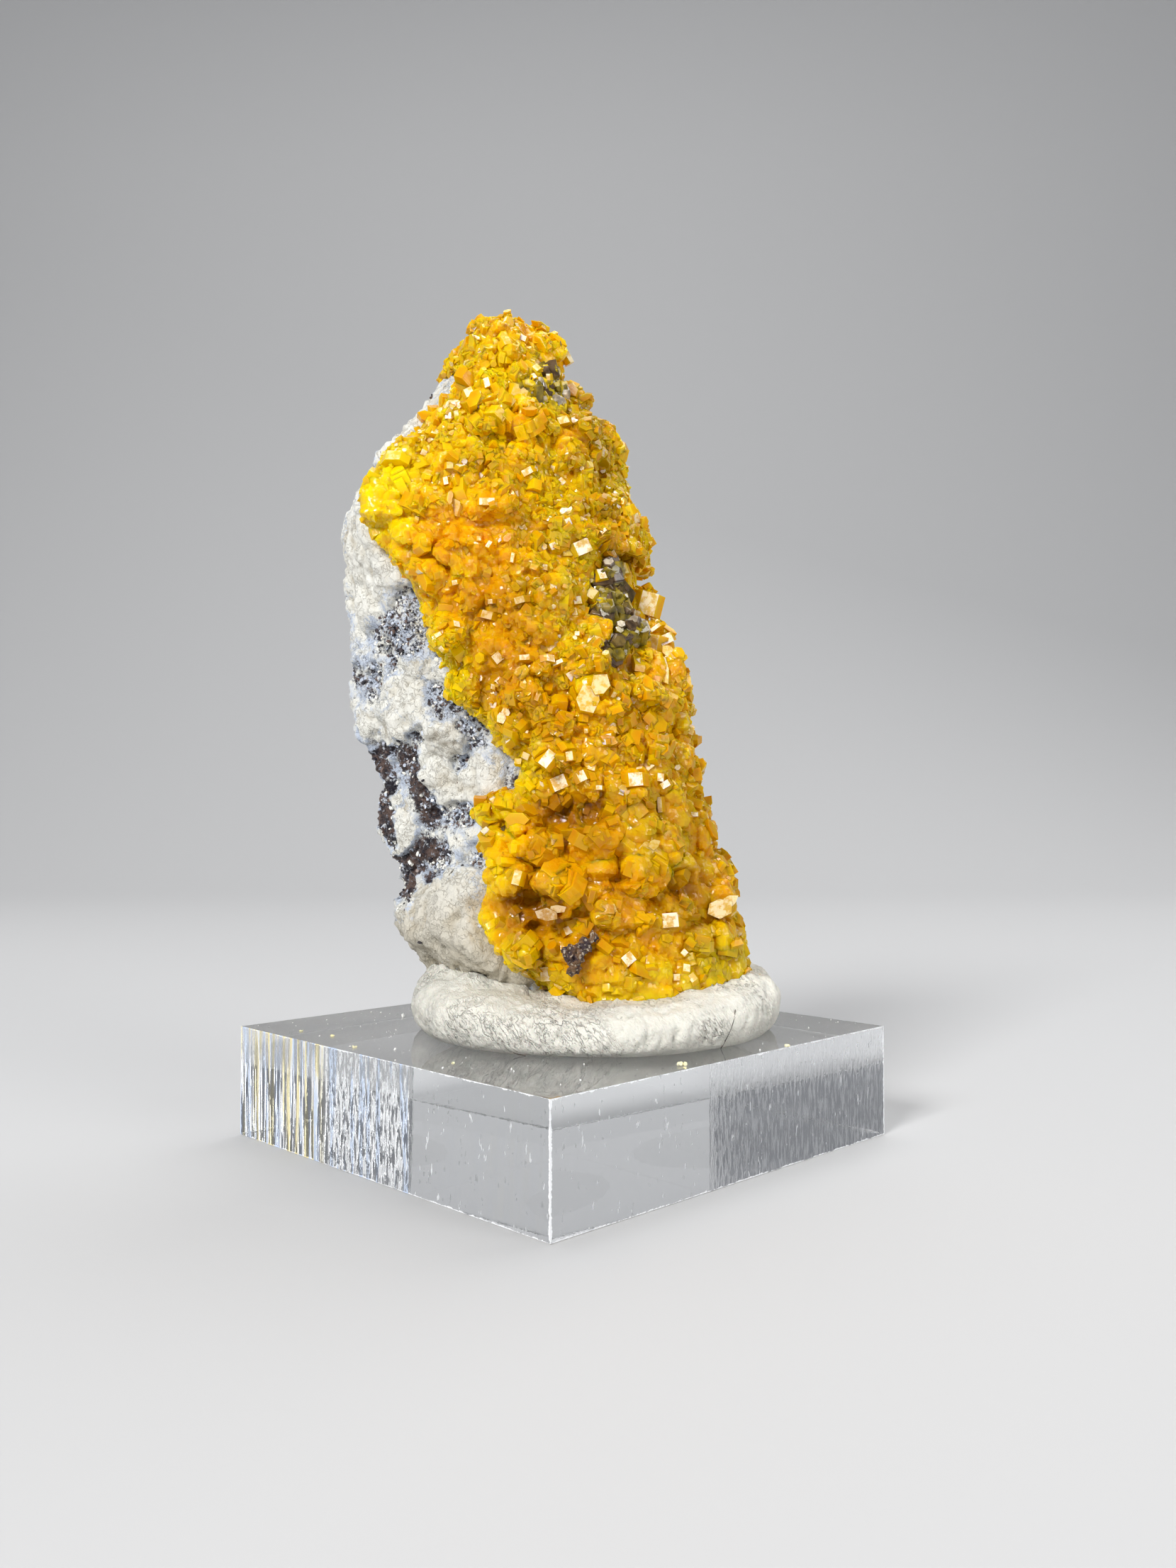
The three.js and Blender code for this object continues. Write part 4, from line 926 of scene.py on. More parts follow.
class StageSettings(bpy.types.PropertyGroup):
    """The floor, the light and the camera"""

    eye: FloatVectorProperty(
        name="Camera", description="Where the camera stands", unit="LENGTH", size=3,
        default=(77.3115 * MM, -73.2155 * MM, 27.0164 * MM),
    )
    azimuth: angle_setting("Azimuth", "The camera's angle round the block", 45.356)
    elevation: angle_setting("Elevation", "The camera's angle above the horizon", -1.2247)
    roll: angle_setting("Roll", "The camera's roll", -0.0939)
    focal_length: FloatProperty(
        name="Focal length", description="For a sensor 36 mm long", default=29.04, unit="CAMERA"
    )
    floor: colour_setting("Floor", "Floor and backdrop", 0.56, 0.56, 0.56)
    sky: colour_setting("Sky", "Light from all round", 0.9, 0.93, 1.0)
    sky_strength: number_setting("Sky strength", "Strength of the light from all round", 0.22)


# Matrix


def rock_places(stone):
    """Points of the rock moved about, farther round its sides, so that its zones get ragged outlines"""
    near = strayed(stone, 0.8, 0.7)
    far = strayed(stone, 0.3, 4.0) - stone
    return near + far * ramp(stone[:, 1], 1.5, 5.0)[:, None]


def coat_rows(stone):
    """How thick the white coating is at each point: below 0 the rock is bare"""
    broad = noise_rows(stone, 0.14, 2.0)
    middling = noise_rows(stone, 0.5, 5.0)
    fine = noise_rows(stone, 1.5, 9.0)
    moved = rock_places(stone)
    thick = zone_share(moved, THICK_COATING, ROCK_REACH)
    bare = zone_share(moved, BARE_ROCK, ROCK_REACH)
    return 0.24 + 0.36 * broad + 0.3 * middling + 0.16 * fine + 0.9 * thick - 1.0 * bare


def ridge_rows(stone):
    """How strongly the brown ridges show at each point: 0 to 1"""
    return zone_share(rock_places(stone), RIDGES, ROCK_REACH)


class SPECIMEN_OT_matrix(bpy.types.Operator):
    """Makes the matrix rock with its chalky coating and bare spots"""

    bl_idname = "specimen.matrix"
    bl_label = "Matrix Rock"

    def execute(self, context):
        settings = context.scene.matrix_settings
        mesh = even_copy("matrix", settings.voxel, 3)
        stone = in_stone(coordinates(mesh))
        coat = coat_rows(stone)
        lumps = np.array([noise.fractal(Vector(p) * 0.8, 1.0, 2.1, 5) for p in stone])
        wrinkles = 1 - np.abs(noise_rows(stone * [1.0, 1.0, 0.7], 1.3, 15.0)) * 2
        grain = noise_rows(stone, 3.2, 21.0)
        covered = ramp(coat, -0.1, 0.4)
        ridge = ridge_rows(stone)
        height = covered * (settings.rock_depth + settings.lumps * (0.8 * lumps + 0.45 * wrinkles))
        height += settings.lumps * (0.35 * covered + 1.1 * (1 - covered)) * grain
        height += ridge * (0.4 * settings.rock_depth + 1.3 * settings.lumps * lumps)
        move_out(mesh, height - 0.3 * settings.rock_depth)
        paint(mesh, "coat", coat)
        paint(mesh, "lumps", lumps)
        paint(mesh, "ridge", ridge)
        add_piece("matrix_rock", mesh, rock_material(settings), ("matrix",), smooth=True)
        self.grains(settings, mesh)
        return {"FINISHED"}

    def grains(self, settings, mesh):
        """Small angular grains that crowd the bare rock"""
        rng = np.random.default_rng(settings.seed)

        def wanted(points, normals):
            stone = in_stone(points)
            return (ramp(-coat_rows(stone), -0.12, 0.15) + 0.004) * (1 - 0.8 * ridge_rows(stone))

        points, normals = places_on(mesh, settings.grains, rng, wanted)
        count = len(points)
        axes = leaned(normals, rng, 1.4)
        radii = settings.grain_radius * rng.uniform(0.33, 1.0, count)
        turns = crystal_turns(axes, rng.uniform(0, math.pi, count))
        sizes = radii[:, None] * rng.uniform(0.6, 1.6, (count, 3))
        tops = points + normals * radii[:, None] * 0.5
        druse = Druse(rng)
        druse.add("plain", tops, turns, sizes, rng.random(count), np.zeros(count), np.zeros((count, 4)), 0.3)
        add_piece("rock_grains", druse.mesh(), grain_material(settings))


def rock_material(settings):
    """Chalky coating over dark speckled rock, with a bluish film where the coating is thin"""
    material, wire = new_material("Chalky Coating on Rock")
    ragged = wire.map(wire.noise(1500, 5.0, 0.75), 0.25, 0.75, -0.34, 0.34)
    ragged = wire.math("ADD", wire.painted("coat"), ragged)
    film = wire.mix(wire.map(wire.noise(600, 4.0, 0.6), 0.4, 0.62), settings.film, settings.coating)
    speck = wire.math("SUBTRACT", wire.noise(2500, 4.0, 0.75), wire.times(wire.painted("ridge"), 0.16))
    rock = wire.layers(
        settings.dark,
        (wire.map(wire.noise(700, 4.0, 0.7), 0.42, 0.6), settings.brown),
        (wire.map(speck, 0.42, 0.48), wire.mix(0.42, settings.dark, settings.film)),
        (wire.map(speck, 0.47, 0.53), film),
    )
    broad_cracks = wire.crack(wire.noise(420, 5.0, 0.6), 0.01)
    cracks = wire.most(broad_cracks, wire.crack(wire.noise(900, 3.0, 0.6), 0.012))
    # Painted shade: the coating darkened in the lumps' hollows, in cracks and towards the bottom, with darker
    # patches at random
    coating = wire.layers(
        settings.coating,
        (wire.map(wire.painted("lumps"), -0.9, 0.1, 0.75, 0.0), settings.painted_coating_shade),
        (wire.map(wire.noise(800, 5.0, 0.7), 0.5, 0.8, 0.0, 0.45), settings.painted_coating_shade),
        (wire.map(wire.split_place("Z"), 14 * MM, 26 * MM, 0.75, 0.0), settings.painted_coating_shade),
        (wire.times(cracks, 0.4), settings.painted_coating_shade),
    )
    pinholes = wire.map(wire.noise(2300, 3.0, 0.7), 0.62, 0.7, 0.0, 0.8)
    colour = wire.layers(
        rock,
        (wire.map(ragged, -0.12, 0.16), wire.mix(wire.map(ragged, 0.3, 0.62), film, coating)),
        (wire.times(pinholes, wire.map(ragged, 0.2, 0.9, 1.0, 0.12)), settings.dark),
    )
    wire.shade(Base_Color=colour, Roughness=wire.map(ragged, -0.1, 0.15, settings.rock_gloss, 0.86))
    wire.bump(wire.math("SUBTRACT", wire.noise(1500, 8.0, 0.75), wire.times(cracks, 0.25)), 0.35 * MM)
    return material


def grain_material(settings):
    """Dark, glinting grains, some of them filmed with blue and white"""
    material, wire = new_material("Rock Grains")
    tone = wire.painted("tone")
    colour = wire.layers(
        settings.dark,
        (wire.map(tone, 0.2, 0.4), settings.brown),
        (wire.map(tone, 0.46, 0.5, 0.0, 0.85), settings.film),
        (wire.map(tone, 0.78, 0.8), settings.coating),
        (wire.map(wire.noise(4200), 0.55, 0.65, 0.0, 0.6), settings.dark),
    )
    wire.shade(Base_Color=colour, Roughness=wire.map(wire.noise(3000), 0.3, 0.7, 0.22, 0.5), IOR=1.7)
    return material


# Mimetite crust


def clear_of_named(stone):
    """0 where a named crystal or a lit face would be hidden, otherwise 1"""
    named = [(across, up, radius, radius) for across, up, radius, *_ in BLOCKY_CRYSTALS]
    named += [(across, up, wide / 2, tall / 2) for across, up, wide, tall, *_ in LIT_FACES]
    named += [(across, up, wide, tall) for across, up, wide, tall, *_ in FROSTED_PLATES]
    named.append(CRUMB)
    clear = np.ones(len(stone))
    for across, up, wide, tall in named:
        apart = np.hypot((stone[:, 0] - across) / (wide + 0.22), (stone[:, 2] - up) / (tall + 0.22))
        clear[(apart < 1) & (stone[:, 1] < CRUST_REACH)] = 0.0
    return clear


class SPECIMEN_OT_crust_bed(bpy.types.Operator):
    """Makes the crust's body, the lumpy mass that its crystals stand on"""

    bl_idname = "specimen.crust_bed"
    bl_label = "Crust Bed"

    def execute(self, context):
        settings = context.scene.crust_settings
        mesh = even_copy("mimetite_crust", settings.voxel, 6)
        stone = in_stone(coordinates(mesh))
        low_down = ramp(stone[:, 2] + 3 * noise_rows(stone, 0.2, 8.0), *ROUND_MASSES)
        height = facets(stone, 1.3, 0.5, 0.8) + facets(stone, 0.65, 0.3, 0.8)
        height = masses(stone, MASS_SIZE) * (0.7 + 0.5 * low_down) + height * (1 - 0.45 * low_down)
        height -= HOLLOW_DEPTH * ramp(zone_share(stone, AMBER_ZONES), 0.3, 1.0)
        move_out(mesh, settings.relief * height)
        # How high each point stands; the material paints shade in the grooves and a highlight on the tops
        # from it
        paint(mesh, "tip", ramp(height, -0.2, 1.3))
        paint(mesh, "zones", zone_rows(stone))
        paint(mesh, "tone", 0.5 + 0.35 * noise_rows(stone, 0.8, 31.0))
        material = mimetite_material("Mimetite Mass", settings, 0.03, 1.0 * MM, BED_GLOW, 0.5)
        bed = add_piece("mimetite_bed", mesh, material, ("mimetite_crust",), smooth=True)
        bed.data.set_sharp_from_angle(angle=math.radians(22))
        return {"FINISHED"}


class SPECIMEN_OT_crystals(bpy.types.Operator):
    """Grows the crust's crystals: named ones first, then middling and fine ones at random"""

    bl_idname = "specimen.crystals"
    bl_label = "Mimetite Crystals"

    def execute(self, context):
        settings = context.scene.crust_settings
        rng = np.random.default_rng(settings.seed)
        small = mimetite_material("Mimetite Crystal", settings, 0.18, 0.28 * MM, CRYSTAL_GLOW, 0.0)
        big = mimetite_material("Mimetite Block", settings, 0.06, 0.3 * MM, CRYSTAL_GLOW, 0.2)
        nodes = ("mimetite_crust", "duftite_upper", "duftite_lower", "matrix")
        tree = tree_of(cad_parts[node] for node in nodes)
        blocks, large, fine = Druse(rng), Druse(rng), Druse(rng)
        self.blocky(blocks, tree, rng)
        self.lit_faces(large, tree, rng)
        self.plates(large, tree, rng)
        self.scattered(large, settings.middling, settings.middling_radius, settings, rng, MIDDLING)
        self.scattered(fine, settings.fine, settings.fine_radius, settings, rng, FINE)
        add_piece("mimetite_blocks", blocks.mesh(), big)
        add_piece("mimetite_crystals", large.mesh(), small)
        add_piece("mimetite_druse", fine.mesh(), small)
        return {"FINISHED"}

    def one(self, druse, shape, top, axis, spin, sizes, tone, frost, uneven=0.1):
        """One crystal with its top face at a point, its sizes in millimetres"""
        top, axis = np.array(top)[None], np.array(axis)[None]
        turns = crystal_turns(axis, np.array([spin]))
        sizes = np.array([sizes]) * MM
        druse.add(shape, top, turns, sizes, [tone], [frost], zone_rows(in_stone(top)), uneven)

    def blocky(self, druse, tree, rng):
        """Groups of blocky crystals at their places on the stone's front"""
        for across, up, radius, lean_across, lean_up, rise, tone in BLOCKY_CRYSTALS:
            radius = min(radius, LARGEST_BLOCK)
            point, normal = seen_from_front(tree, across, up)
            axis = (normal + in_row(lean_across, 0, lean_up) / MM).normalized()
            spin = rng.uniform(0, math.pi)
            shape = rng.choice(["blunt", "lying"])
            for k in range(GROUP_SIZE):
                aside = Vector(rng.normal(0, 0.42, 3)) * radius * (k > 0)
                aside -= axis * aside.dot(axis)
                top = point + (axis * (rise * 0.4 - 0.14 * k * radius) + normal * 0.12 + aside) * MM
                wide, tall = radius * rng.uniform(0.32, 0.6, 2)
                turned = spin + rng.normal(0, 0.08)
                self.one(druse, shape, top, axis, turned, (wide, tall, rise + radius), tone, 0.0, 0.16)

    def lit_faces(self, druse, tree, rng):
        """Crystals whose upper side faces the viewer and the light"""
        for across, up, wide, tall, turn, frost in LIT_FACES:
            point, normal = seen_from_front(tree, across, up)
            wander = in_row(rng.normal(0, 0.15), -1, 0.1 + rng.normal(0, 0.15)) / MM
            facing = (normal * 0.8 + wander).normalized()
            sizes = (wide / 2, tall / 2, 0.5 + wide / 2)
            # Their frost paints the lit face pale: a painted highlight
            self.one(druse, "lying", point + facing * 0.5 * MM, facing, math.radians(turn), sizes, 0.6, frost)

    def plates(self, druse, tree, rng):
        """Broad frosted plates, each of two crystals that overlap"""
        for across, up, wide, tall, turn, frost in FROSTED_PLATES:
            point, normal = seen_from_front(tree, across, up)
            facing = (normal * 0.5 + in_row(0, -1, 0.1) / MM).normalized()
            for share, slide, drop in ((0.8, -0.25, 0.0), (0.62, 0.42, 0.1)):
                aside = in_row(slide * wide, 0, slide * tall * rng.uniform(0.4, 1.2))
                top = point + facing * (0.62 - drop) * MM + aside
                spin = math.radians(turn + rng.uniform(-20, 20))
                sizes = (wide * share, tall * share, 1.2)
                self.one(druse, "plain", top, facing, spin, sizes, 0.6, 0.75 * frost, 0.3)

    def scattered(self, druse, count, usual, settings, rng, kind):
        """Crystals at random over the crust, fewer where its masses look smooth"""

        def wanted(points, normals):
            stone = in_stone(points)
            keep = outward(points, normals) * (stone[:, 2] > CRUST_FOOT) * clear_of_named(stone)
            for pocket in POCKETS.values():
                keep *= 1 - 0.92 * ramp(zone_share(stone, [pocket["zone"]]), 0.4, 0.65)
            keep *= 1 - kind["smooth"] * zone_share(stone, SMOOTH_ZONES)
            keep *= 1 - kind["low_down"] * ramp(stone[:, 2], *FEWER_CRYSTALS)
            return keep * (1 - 0.7 * ramp(zone_share(stone, AMBER_ZONES), 0.3, 0.8))

        points, normals = places_on(bpy.data.objects["mimetite_bed"].data, count, rng, wanted)
        stone = in_stone(points)
        axes = leaned(normals, rng, settings.lean)
        radii = usual * np.exp(rng.normal(0, 0.3, count)).clip(0.5, 1.8)
        radii *= 0.85 + 0.3 * ramp(stone[:, 2], *LARGER_CRYSTALS)
        rise = rng.uniform(*kind["rises"], count) * MM * (0.6 + 0.5 * radii / usual)
        # Frosted ends are painted pale, partly as painted glints
        frosts = np.where(rng.random(count) < settings.frosted, rng.uniform(0.6, 1.0, count), 0.0)
        frosts *= radii < LARGEST_FROSTED * MM
        rise += FROST_RISE * MM * (frosts > 0)
        tops = points + normals * rise[:, None]
        sizes = np.stack([radii, radii, rise + radii * rng.uniform(1.2, 2.2, count)], axis=1)
        turns = crystal_turns(axes, rng.uniform(0, math.pi, count))
        rows = (tops, turns, sizes, rng.random(count), frosts, zone_rows(stone))
        shapes = rng.choice(list(CRYSTAL_SHAPES), count, p=kind["shapes"])
        for shape in CRYSTAL_SHAPES:
            of_shape = shapes == shape
            druse.add(shape, *(row[of_shape] for row in rows), 0.14)


# Duftite and the iron oxide crumb


def duftite_material(settings):
    """Dark olive and smoky glass with pale end faces, and yellow crystals among it"""
    material, wire = new_material("Duftite Glass")
    tone = wire.painted("tone")
    frost = wire.painted("frost")
    colour = wire.layers(
        settings.olive,
        (wire.map(tone, 0.6, 0.8), settings.smoke),
        (wire.map(tone, 1.0, 1.2, 0.0, 0.75), settings.pale),
        (wire.map(tone, -0.3, 0.0, 1.0, 0.0), settings.yellow),
    )
    colour = wire.adjust(colour, wire.map(wire.noise(1400, 3.0), 0.3, 0.7, 0.5, 1.9))
    whitened = wire.times(frost, wire.map(wire.noise(2600), 0.3, 0.6, 0.6, 1.0))
    wire.shade(
        Base_Color=wire.mix(whitened, colour, settings.pale),
        Roughness=wire.map(wire.noise(2400, 3.0), 0.4, 0.7, 0.05, 0.2),
        IOR=1.9,
        Specular_IOR_Level=0.14,
        Subsurface_Weight=0.4,
        Subsurface_Radius=BED_GLOW,
        Subsurface_Scale=0.4 * MM,
        Transmission_Weight=wire.map(frost, 0.0, 0.6, 0.15, 0.0),
    )
    wire.bump(wire.noise(3400, 3.0, 0.6), 0.02 * MM, 0.5)
    return material


class SPECIMEN_OT_duftite(bpy.types.Operator):
    """Fills the two dark pockets with glassy duftite crystals"""

    bl_idname = "specimen.duftite"
    bl_label = "Duftite Pockets"

    def execute(self, context):
        settings = context.scene.duftite_settings
        rng = np.random.default_rng(settings.seed)
        material = duftite_material(settings)
        largest = max(pocket["zone"][2] * pocket["zone"][3] for pocket in POCKETS.values())
        for node, pocket in POCKETS.items():
            bed = even_copy(node, settings.voxel, 3)
            move_out(bed, -pocket["sunk"] * MM)
            _, _, wide, tall, _ = pocket["zone"]
            count = round(settings.crystals * wide * tall / largest * pocket["fineness"] ** 2)
            druse = self.grown(bed, count, pocket, settings, rng)
            add_piece(node + "_crystals", druse.mesh(), material, (node,))
            patches = 0.4 * noise_rows(in_stone(coordinates(bed)), 0.9, 3.0)
            paint(bed, "tone", patches + 0.3 - 0.9 * pocket["yellow"])
            add_piece(node + "_bed", bed, material, smooth=True)
        return {"FINISHED"}

    def grown(self, bed, count, pocket, settings, rng):
        """Dark, pale and yellow crystals that crowd the front of a pocket"""

        def wanted(points, normals):
            return outward(points, normals) * (in_stone(points)[:, 1] < CRUST_REACH)

        points, normals = places_on(bed, count, rng, wanted)
        axes = leaned(normals, rng, 0.9)
        radii = settings.radius / pocket["fineness"] * np.exp(rng.normal(0, 0.35, count)).clip(0.5, 1.9)
        rise = rng.uniform(0.1, 0.6, count) * MM
        frosts = np.where(rng.random(count) < pocket["pale"], rng.uniform(0.3, 1.0, count), 0.0)
        sizes = np.stack([radii, radii, rise + radii * 1.6], axis=1)
        turns = crystal_turns(axes, rng.uniform(0, math.pi, count))
        tones = pocket["tones"] * rng.random(count)
        tones[rng.random(count) < pocket["yellow"]] = YELLOW_TONE
        frosts[tones == YELLOW_TONE] = 0.0
        druse = Druse(rng)
        tops = points + axes * rise[:, None]
        druse.add("blunt", tops, turns, sizes, tones, frosts, np.zeros((count, 4)), 0.12)
        return druse


class SPECIMEN_OT_crumb(bpy.types.Operator):
    """Makes the crumb of iron oxide from angular grains"""

    bl_idname = "specimen.crumb"
    bl_label = "Iron Oxide Crumb"

    def execute(self, context):
        settings = context.scene.duftite_settings
        mesh = even_copy("oxide_crumb", settings.crumb_voxel, 2)
        stone = in_stone(coordinates(mesh))
        move_out(mesh, settings.pits * np.array([noise.fractal(Vector(p) * 2.4, 0.8, 2.2, 4) for p in stone]))
        material, wire = new_material("Iron Oxide")
        colour = wire.layers(
            settings.iron,
            (wire.map(wire.noise(1600, 3.0), 0.42, 0.6), settings.rust),
            (wire.map(wire.noise(3600), 0.56, 0.62, 0.0, 0.8), settings.fleck),
        )
        roughness = wire.map(wire.noise(3000), 0.3, 0.7, 0.25, 0.6)
        wire.shade(Base_Color=colour, Roughness=roughness, Specular_IOR_Level=0.3)
        wire.bump(wire.noise(4200, 4.0), 0.05 * MM, 0.7)
        add_piece("oxide_crumb_body", mesh, material, ("oxide_crumb",))
        return {"FINISHED"}


# Putty


class SPECIMEN_OT_putty(bpy.types.Operator):
    """Makes the thumbed putty pad and closes it up to the stone's foot"""

    bl_idname = "specimen.putty"
    bl_label = "Putty Pad"

    def execute(self, context):
        settings = context.scene.putty_settings
        mesh = even_copy("mounting_putty", settings.voxel, 5)
        stone = in_stone(coordinates(mesh))
        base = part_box("mounting_putty")[0].z / MM
        broad = noise_rows(stone, 0.3, 6.0)
        slanted = stone @ np.array([[1.0, 0.0, 0.5], [0.0, 1.0, 0.0], [-0.5, 0.0, 1.0]])
        folds = 1 - np.abs(noise_rows(slanted * [2.2, 1.0, 0.7], 0.4, 13.0)) * 6
        folds = np.clip(folds, 0, 1)
        pits = ramp(noise_rows(slanted * [1.7, 1.0, 0.5], 1.1, 17.0), 0.4, 0.6)
        pits *= ramp(noise_rows(stone, 0.12, 23.0), -0.1, 0.25)
        lifted = ramp(stone[:, 2], base + 0.15, base + 0.9)
        height = settings.swell * (1.6 * broad - 1.1 * folds) - settings.pit * pits
        move_out(mesh, height * lifted)
        self.close_up(mesh, (base + 0.2) * MM)
        paint(mesh, "crease", folds * 0.6 + pits)
        add_piece("putty_pad", mesh, putty_material(settings), ("mounting_putty",), smooth=True)
        return {"FINISHED"}

    def close_up(self, mesh, lowest):
        """Draws the putty's print up to the stone that pressed it"""
        tree = tree_of(bpy.data.objects[name] for name in ("matrix_rock", "mimetite_bed"))
        for vertex in mesh.vertices:
            if vertex.co.z < lowest:
                continue
            point, normal, _, distance = tree.find_nearest(vertex.co, PRINT_REACH)
            if point is not None and (vertex.co - point).dot(normal) > 0:
                vertex.co = vertex.co.lerp(point - normal * PRINT_DEPTH, 1 - (distance / PRINT_REACH) ** 3)
        mesh.update()


def putty_material(settings):
    """Dull off-white putty with fine creases, darkened in them by dirt and by painted shade"""
    material, wire = new_material("Mounting Putty")
    long = (1.8, 1.0, 0.4)
    slant = (0, math.radians(-38), STONE_TURN)
    coarse = wire.crack(wire.noise(460, 3.0, 0.6, long, slant), 0.012)
    fine = wire.crack(wire.noise(1000, 4.0, 0.7, long, slant), 0.02)
    patches = wire.map(wire.noise(170), 0.4, 0.6, 0.1, 1.0)
    lines = wire.times(wire.most(coarse, wire.times(fine, 0.6)), patches)
    # The creases and the crease lines are darkened as painted shade and dirt; the fine spots are dirt at
    # random
    creased = wire.mix(wire.map(wire.painted("crease"), 0.3, 1.3, 0.0, 0.28), settings.body, settings.grime_and_shade)
    colour = wire.layers(
        wire.adjust(creased, wire.map(wire.noise(260, 4.0, 0.6), 0.3, 0.7, 0.92, 1.08)),
        (wire.times(lines, 0.55), settings.grime_and_shade),
        (wire.map(wire.noise(2600, 3.0, 0.7), 0.64, 0.7, 0.0, 0.6), settings.grime_and_shade),
    )
    wire.shade(
        Base_Color=colour,
        Roughness=wire.map(wire.noise(700), 0.3, 0.7, 0.5, 0.75),
        Subsurface_Weight=0.06,
        Subsurface_Scale=0.5 * MM,
    )
    grain = wire.noise(1300, 7.0, 0.68, (1.3, 1.0, 0.6), slant)
    wire.bump(wire.math("SUBTRACT", grain, wire.times(lines, 0.4)), 0.5 * MM, 0.9)
    return material


# Clear block


def block_material(settings, high):
    """Clear acrylic: polished above, hazed and sawn on its sides, white where its edges are broken"""
    material, wire = new_material("Clear Acrylic")
    haze = wire.painted("haze")
    along, side, up = (wire.split_place(axis) for axis in "XYZ")
    left_face = wire.map(side, -high.y, -high.y + 0.3 * MM, 1.0, 0.0)
    right_face = wire.map(along, high.x - 0.3 * MM, high.x)
    left_part = wire.map(along, *LEFT_SAWN_TO, 1.0, 0.0)
    right_lines = wire.times(right_face, wire.map(side, *RIGHT_SAWN_FROM, 0.0, 0.5))
    sawn = wire.most(wire.times(left_face, left_part), right_lines)
    long = wire.noise(3000, stretch=(1, 1, 0.05))
    broken = wire.noise(4200, 3.0, 0.6, (1, 1, 0.16))
    short = wire.most(right_face, wire.map(along, -8 * MM, -4 * MM))
    lines = wire.times(sawn, wire.map(wire.blend(short, long, broken), 0.44, 0.6))
    hatching = wire.map(wire.noise(2600, 2.0, 0.6, (1, 1, 0.3)), 0.66, 0.72)
    scratches = wire.times(haze, wire.most(lines, hatching))
    # Painted light: gold and blue glints in the saw marks of the left side
    stripes = wire.noise(1700, stretch=(1, 1, 0.05))
    gold = wire.times(wire.map(stripes, 0.52, 0.6), wire.map(along, -7.5 * MM, -6 * MM, 1.0, 0.0))
    blue = wire.times(wire.map(stripes, 0.5, 0.42), left_part)
    colour = wire.layers(
        settings.clear,
        (haze, settings.haze),
        (wire.times(left_face, gold), settings.gold),
        (wire.times(left_face, blue), settings.blue),
    )
    chips = wire.times(wire.noise(1600, 3.0, 0.7), 0.5 * MM)
    from_middle = wire.math("ABSOLUTE", wire.math("SUBTRACT", up, high.z / 2))
    rims = wire.map(wire.math("ADD", from_middle, chips), high.z / 2 + 0.16 * MM, high.z / 2 + 0.22 * MM)
    from_axis = wire.math("ADD", wire.math("ABSOLUTE", along), wire.math("ABSOLUTE", side))
    corner = high.x + high.y
    corners = wire.map(wire.math("ADD", from_axis, chips), corner + 0.1 * MM, corner + 0.16 * MM)
    chipped = wire.times(haze, wire.most(rims, corners))
    wire.shade(
        Base_Color=colour,
        Roughness=wire.math("ADD", wire.times(wire.most(scratches, chipped), 0.4), 0.012),
        IOR=1.49,
        Transmission_Weight=wire.map(wire.most(wire.times(scratches, 0.5), chipped), 0.0, 1.0, 1.0, 0.2),
    )
    wire.bump(wire.times(haze, lines), 0.03 * MM, 0.5)
    return material


class SPECIMEN_OT_block(bpy.types.Operator):
    """Makes the clear block with its broken edges and saw marks"""

    bl_idname = "specimen.block"
    bl_label = "Acrylic Block"

    def execute(self, context):
        settings = context.scene.block_settings
        low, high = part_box("acrylic_base")
        placed = Matrix.Translation((low + high) / 2) @ Matrix.Diagonal((*(high - low), 1.0))
        bm = bmesh.new()
        bmesh.ops.create_cube(bm, size=1.0, matrix=placed)
        for face in [face for face in bm.faces if abs(face.normal.z) < 0.5]:
            self.cut_strips(bm, face, settings)
        bm.normal_update()
        haze = bm.faces.layers.float.new("haze")
        for face in bm.faces:
            face[haze] = float(abs(face.normal.z) < 0.5)
        self.saw(bm, high, settings)
        mesh = mesh_from(bm, "block")
        add_piece("acrylic_block", mesh, block_material(settings, high), ("acrylic_base",))
        return {"FINISHED"}

    def cut_strips(self, bm, face, settings):
        """Cuts a side of the block into upright strips"""
        level = [edge for edge in face.edges if abs(edge.verts[0].co.z - edge.verts[1].co.z) < MM]
        strips = round(level[0].calc_length() / settings.saw_pitch)
        bmesh.ops.subdivide_edges(bm, edges=level, cuts=strips - 1, use_grid_fill=True)

    def saw(self, bm, high, settings):
        """Draws the strips in by uneven depths, deepest where the sides are sawn"""
        rng = np.random.default_rng(settings.seed)
        for vertex in bm.verts:
            x, y, _ = vertex.co
            left = y < MM - high.y and x < LEFT_SAWN_TO[1]
            right = x > high.x - MM and y > RIGHT_SAWN_FROM[0]
            pull = settings.saw_depth * rng.random() * (1.0 if left or right else 0.12)
            if abs(abs(x) - high.x) < ON_A_SIDE and abs(y) < high.y - MM:
                vertex.co.x -= math.copysign(pull, x)
            elif abs(abs(y) - high.y) < ON_A_SIDE and abs(x) < high.x - MM:
                vertex.co.y -= math.copysign(pull, y)


# Dust, fibres and flecks


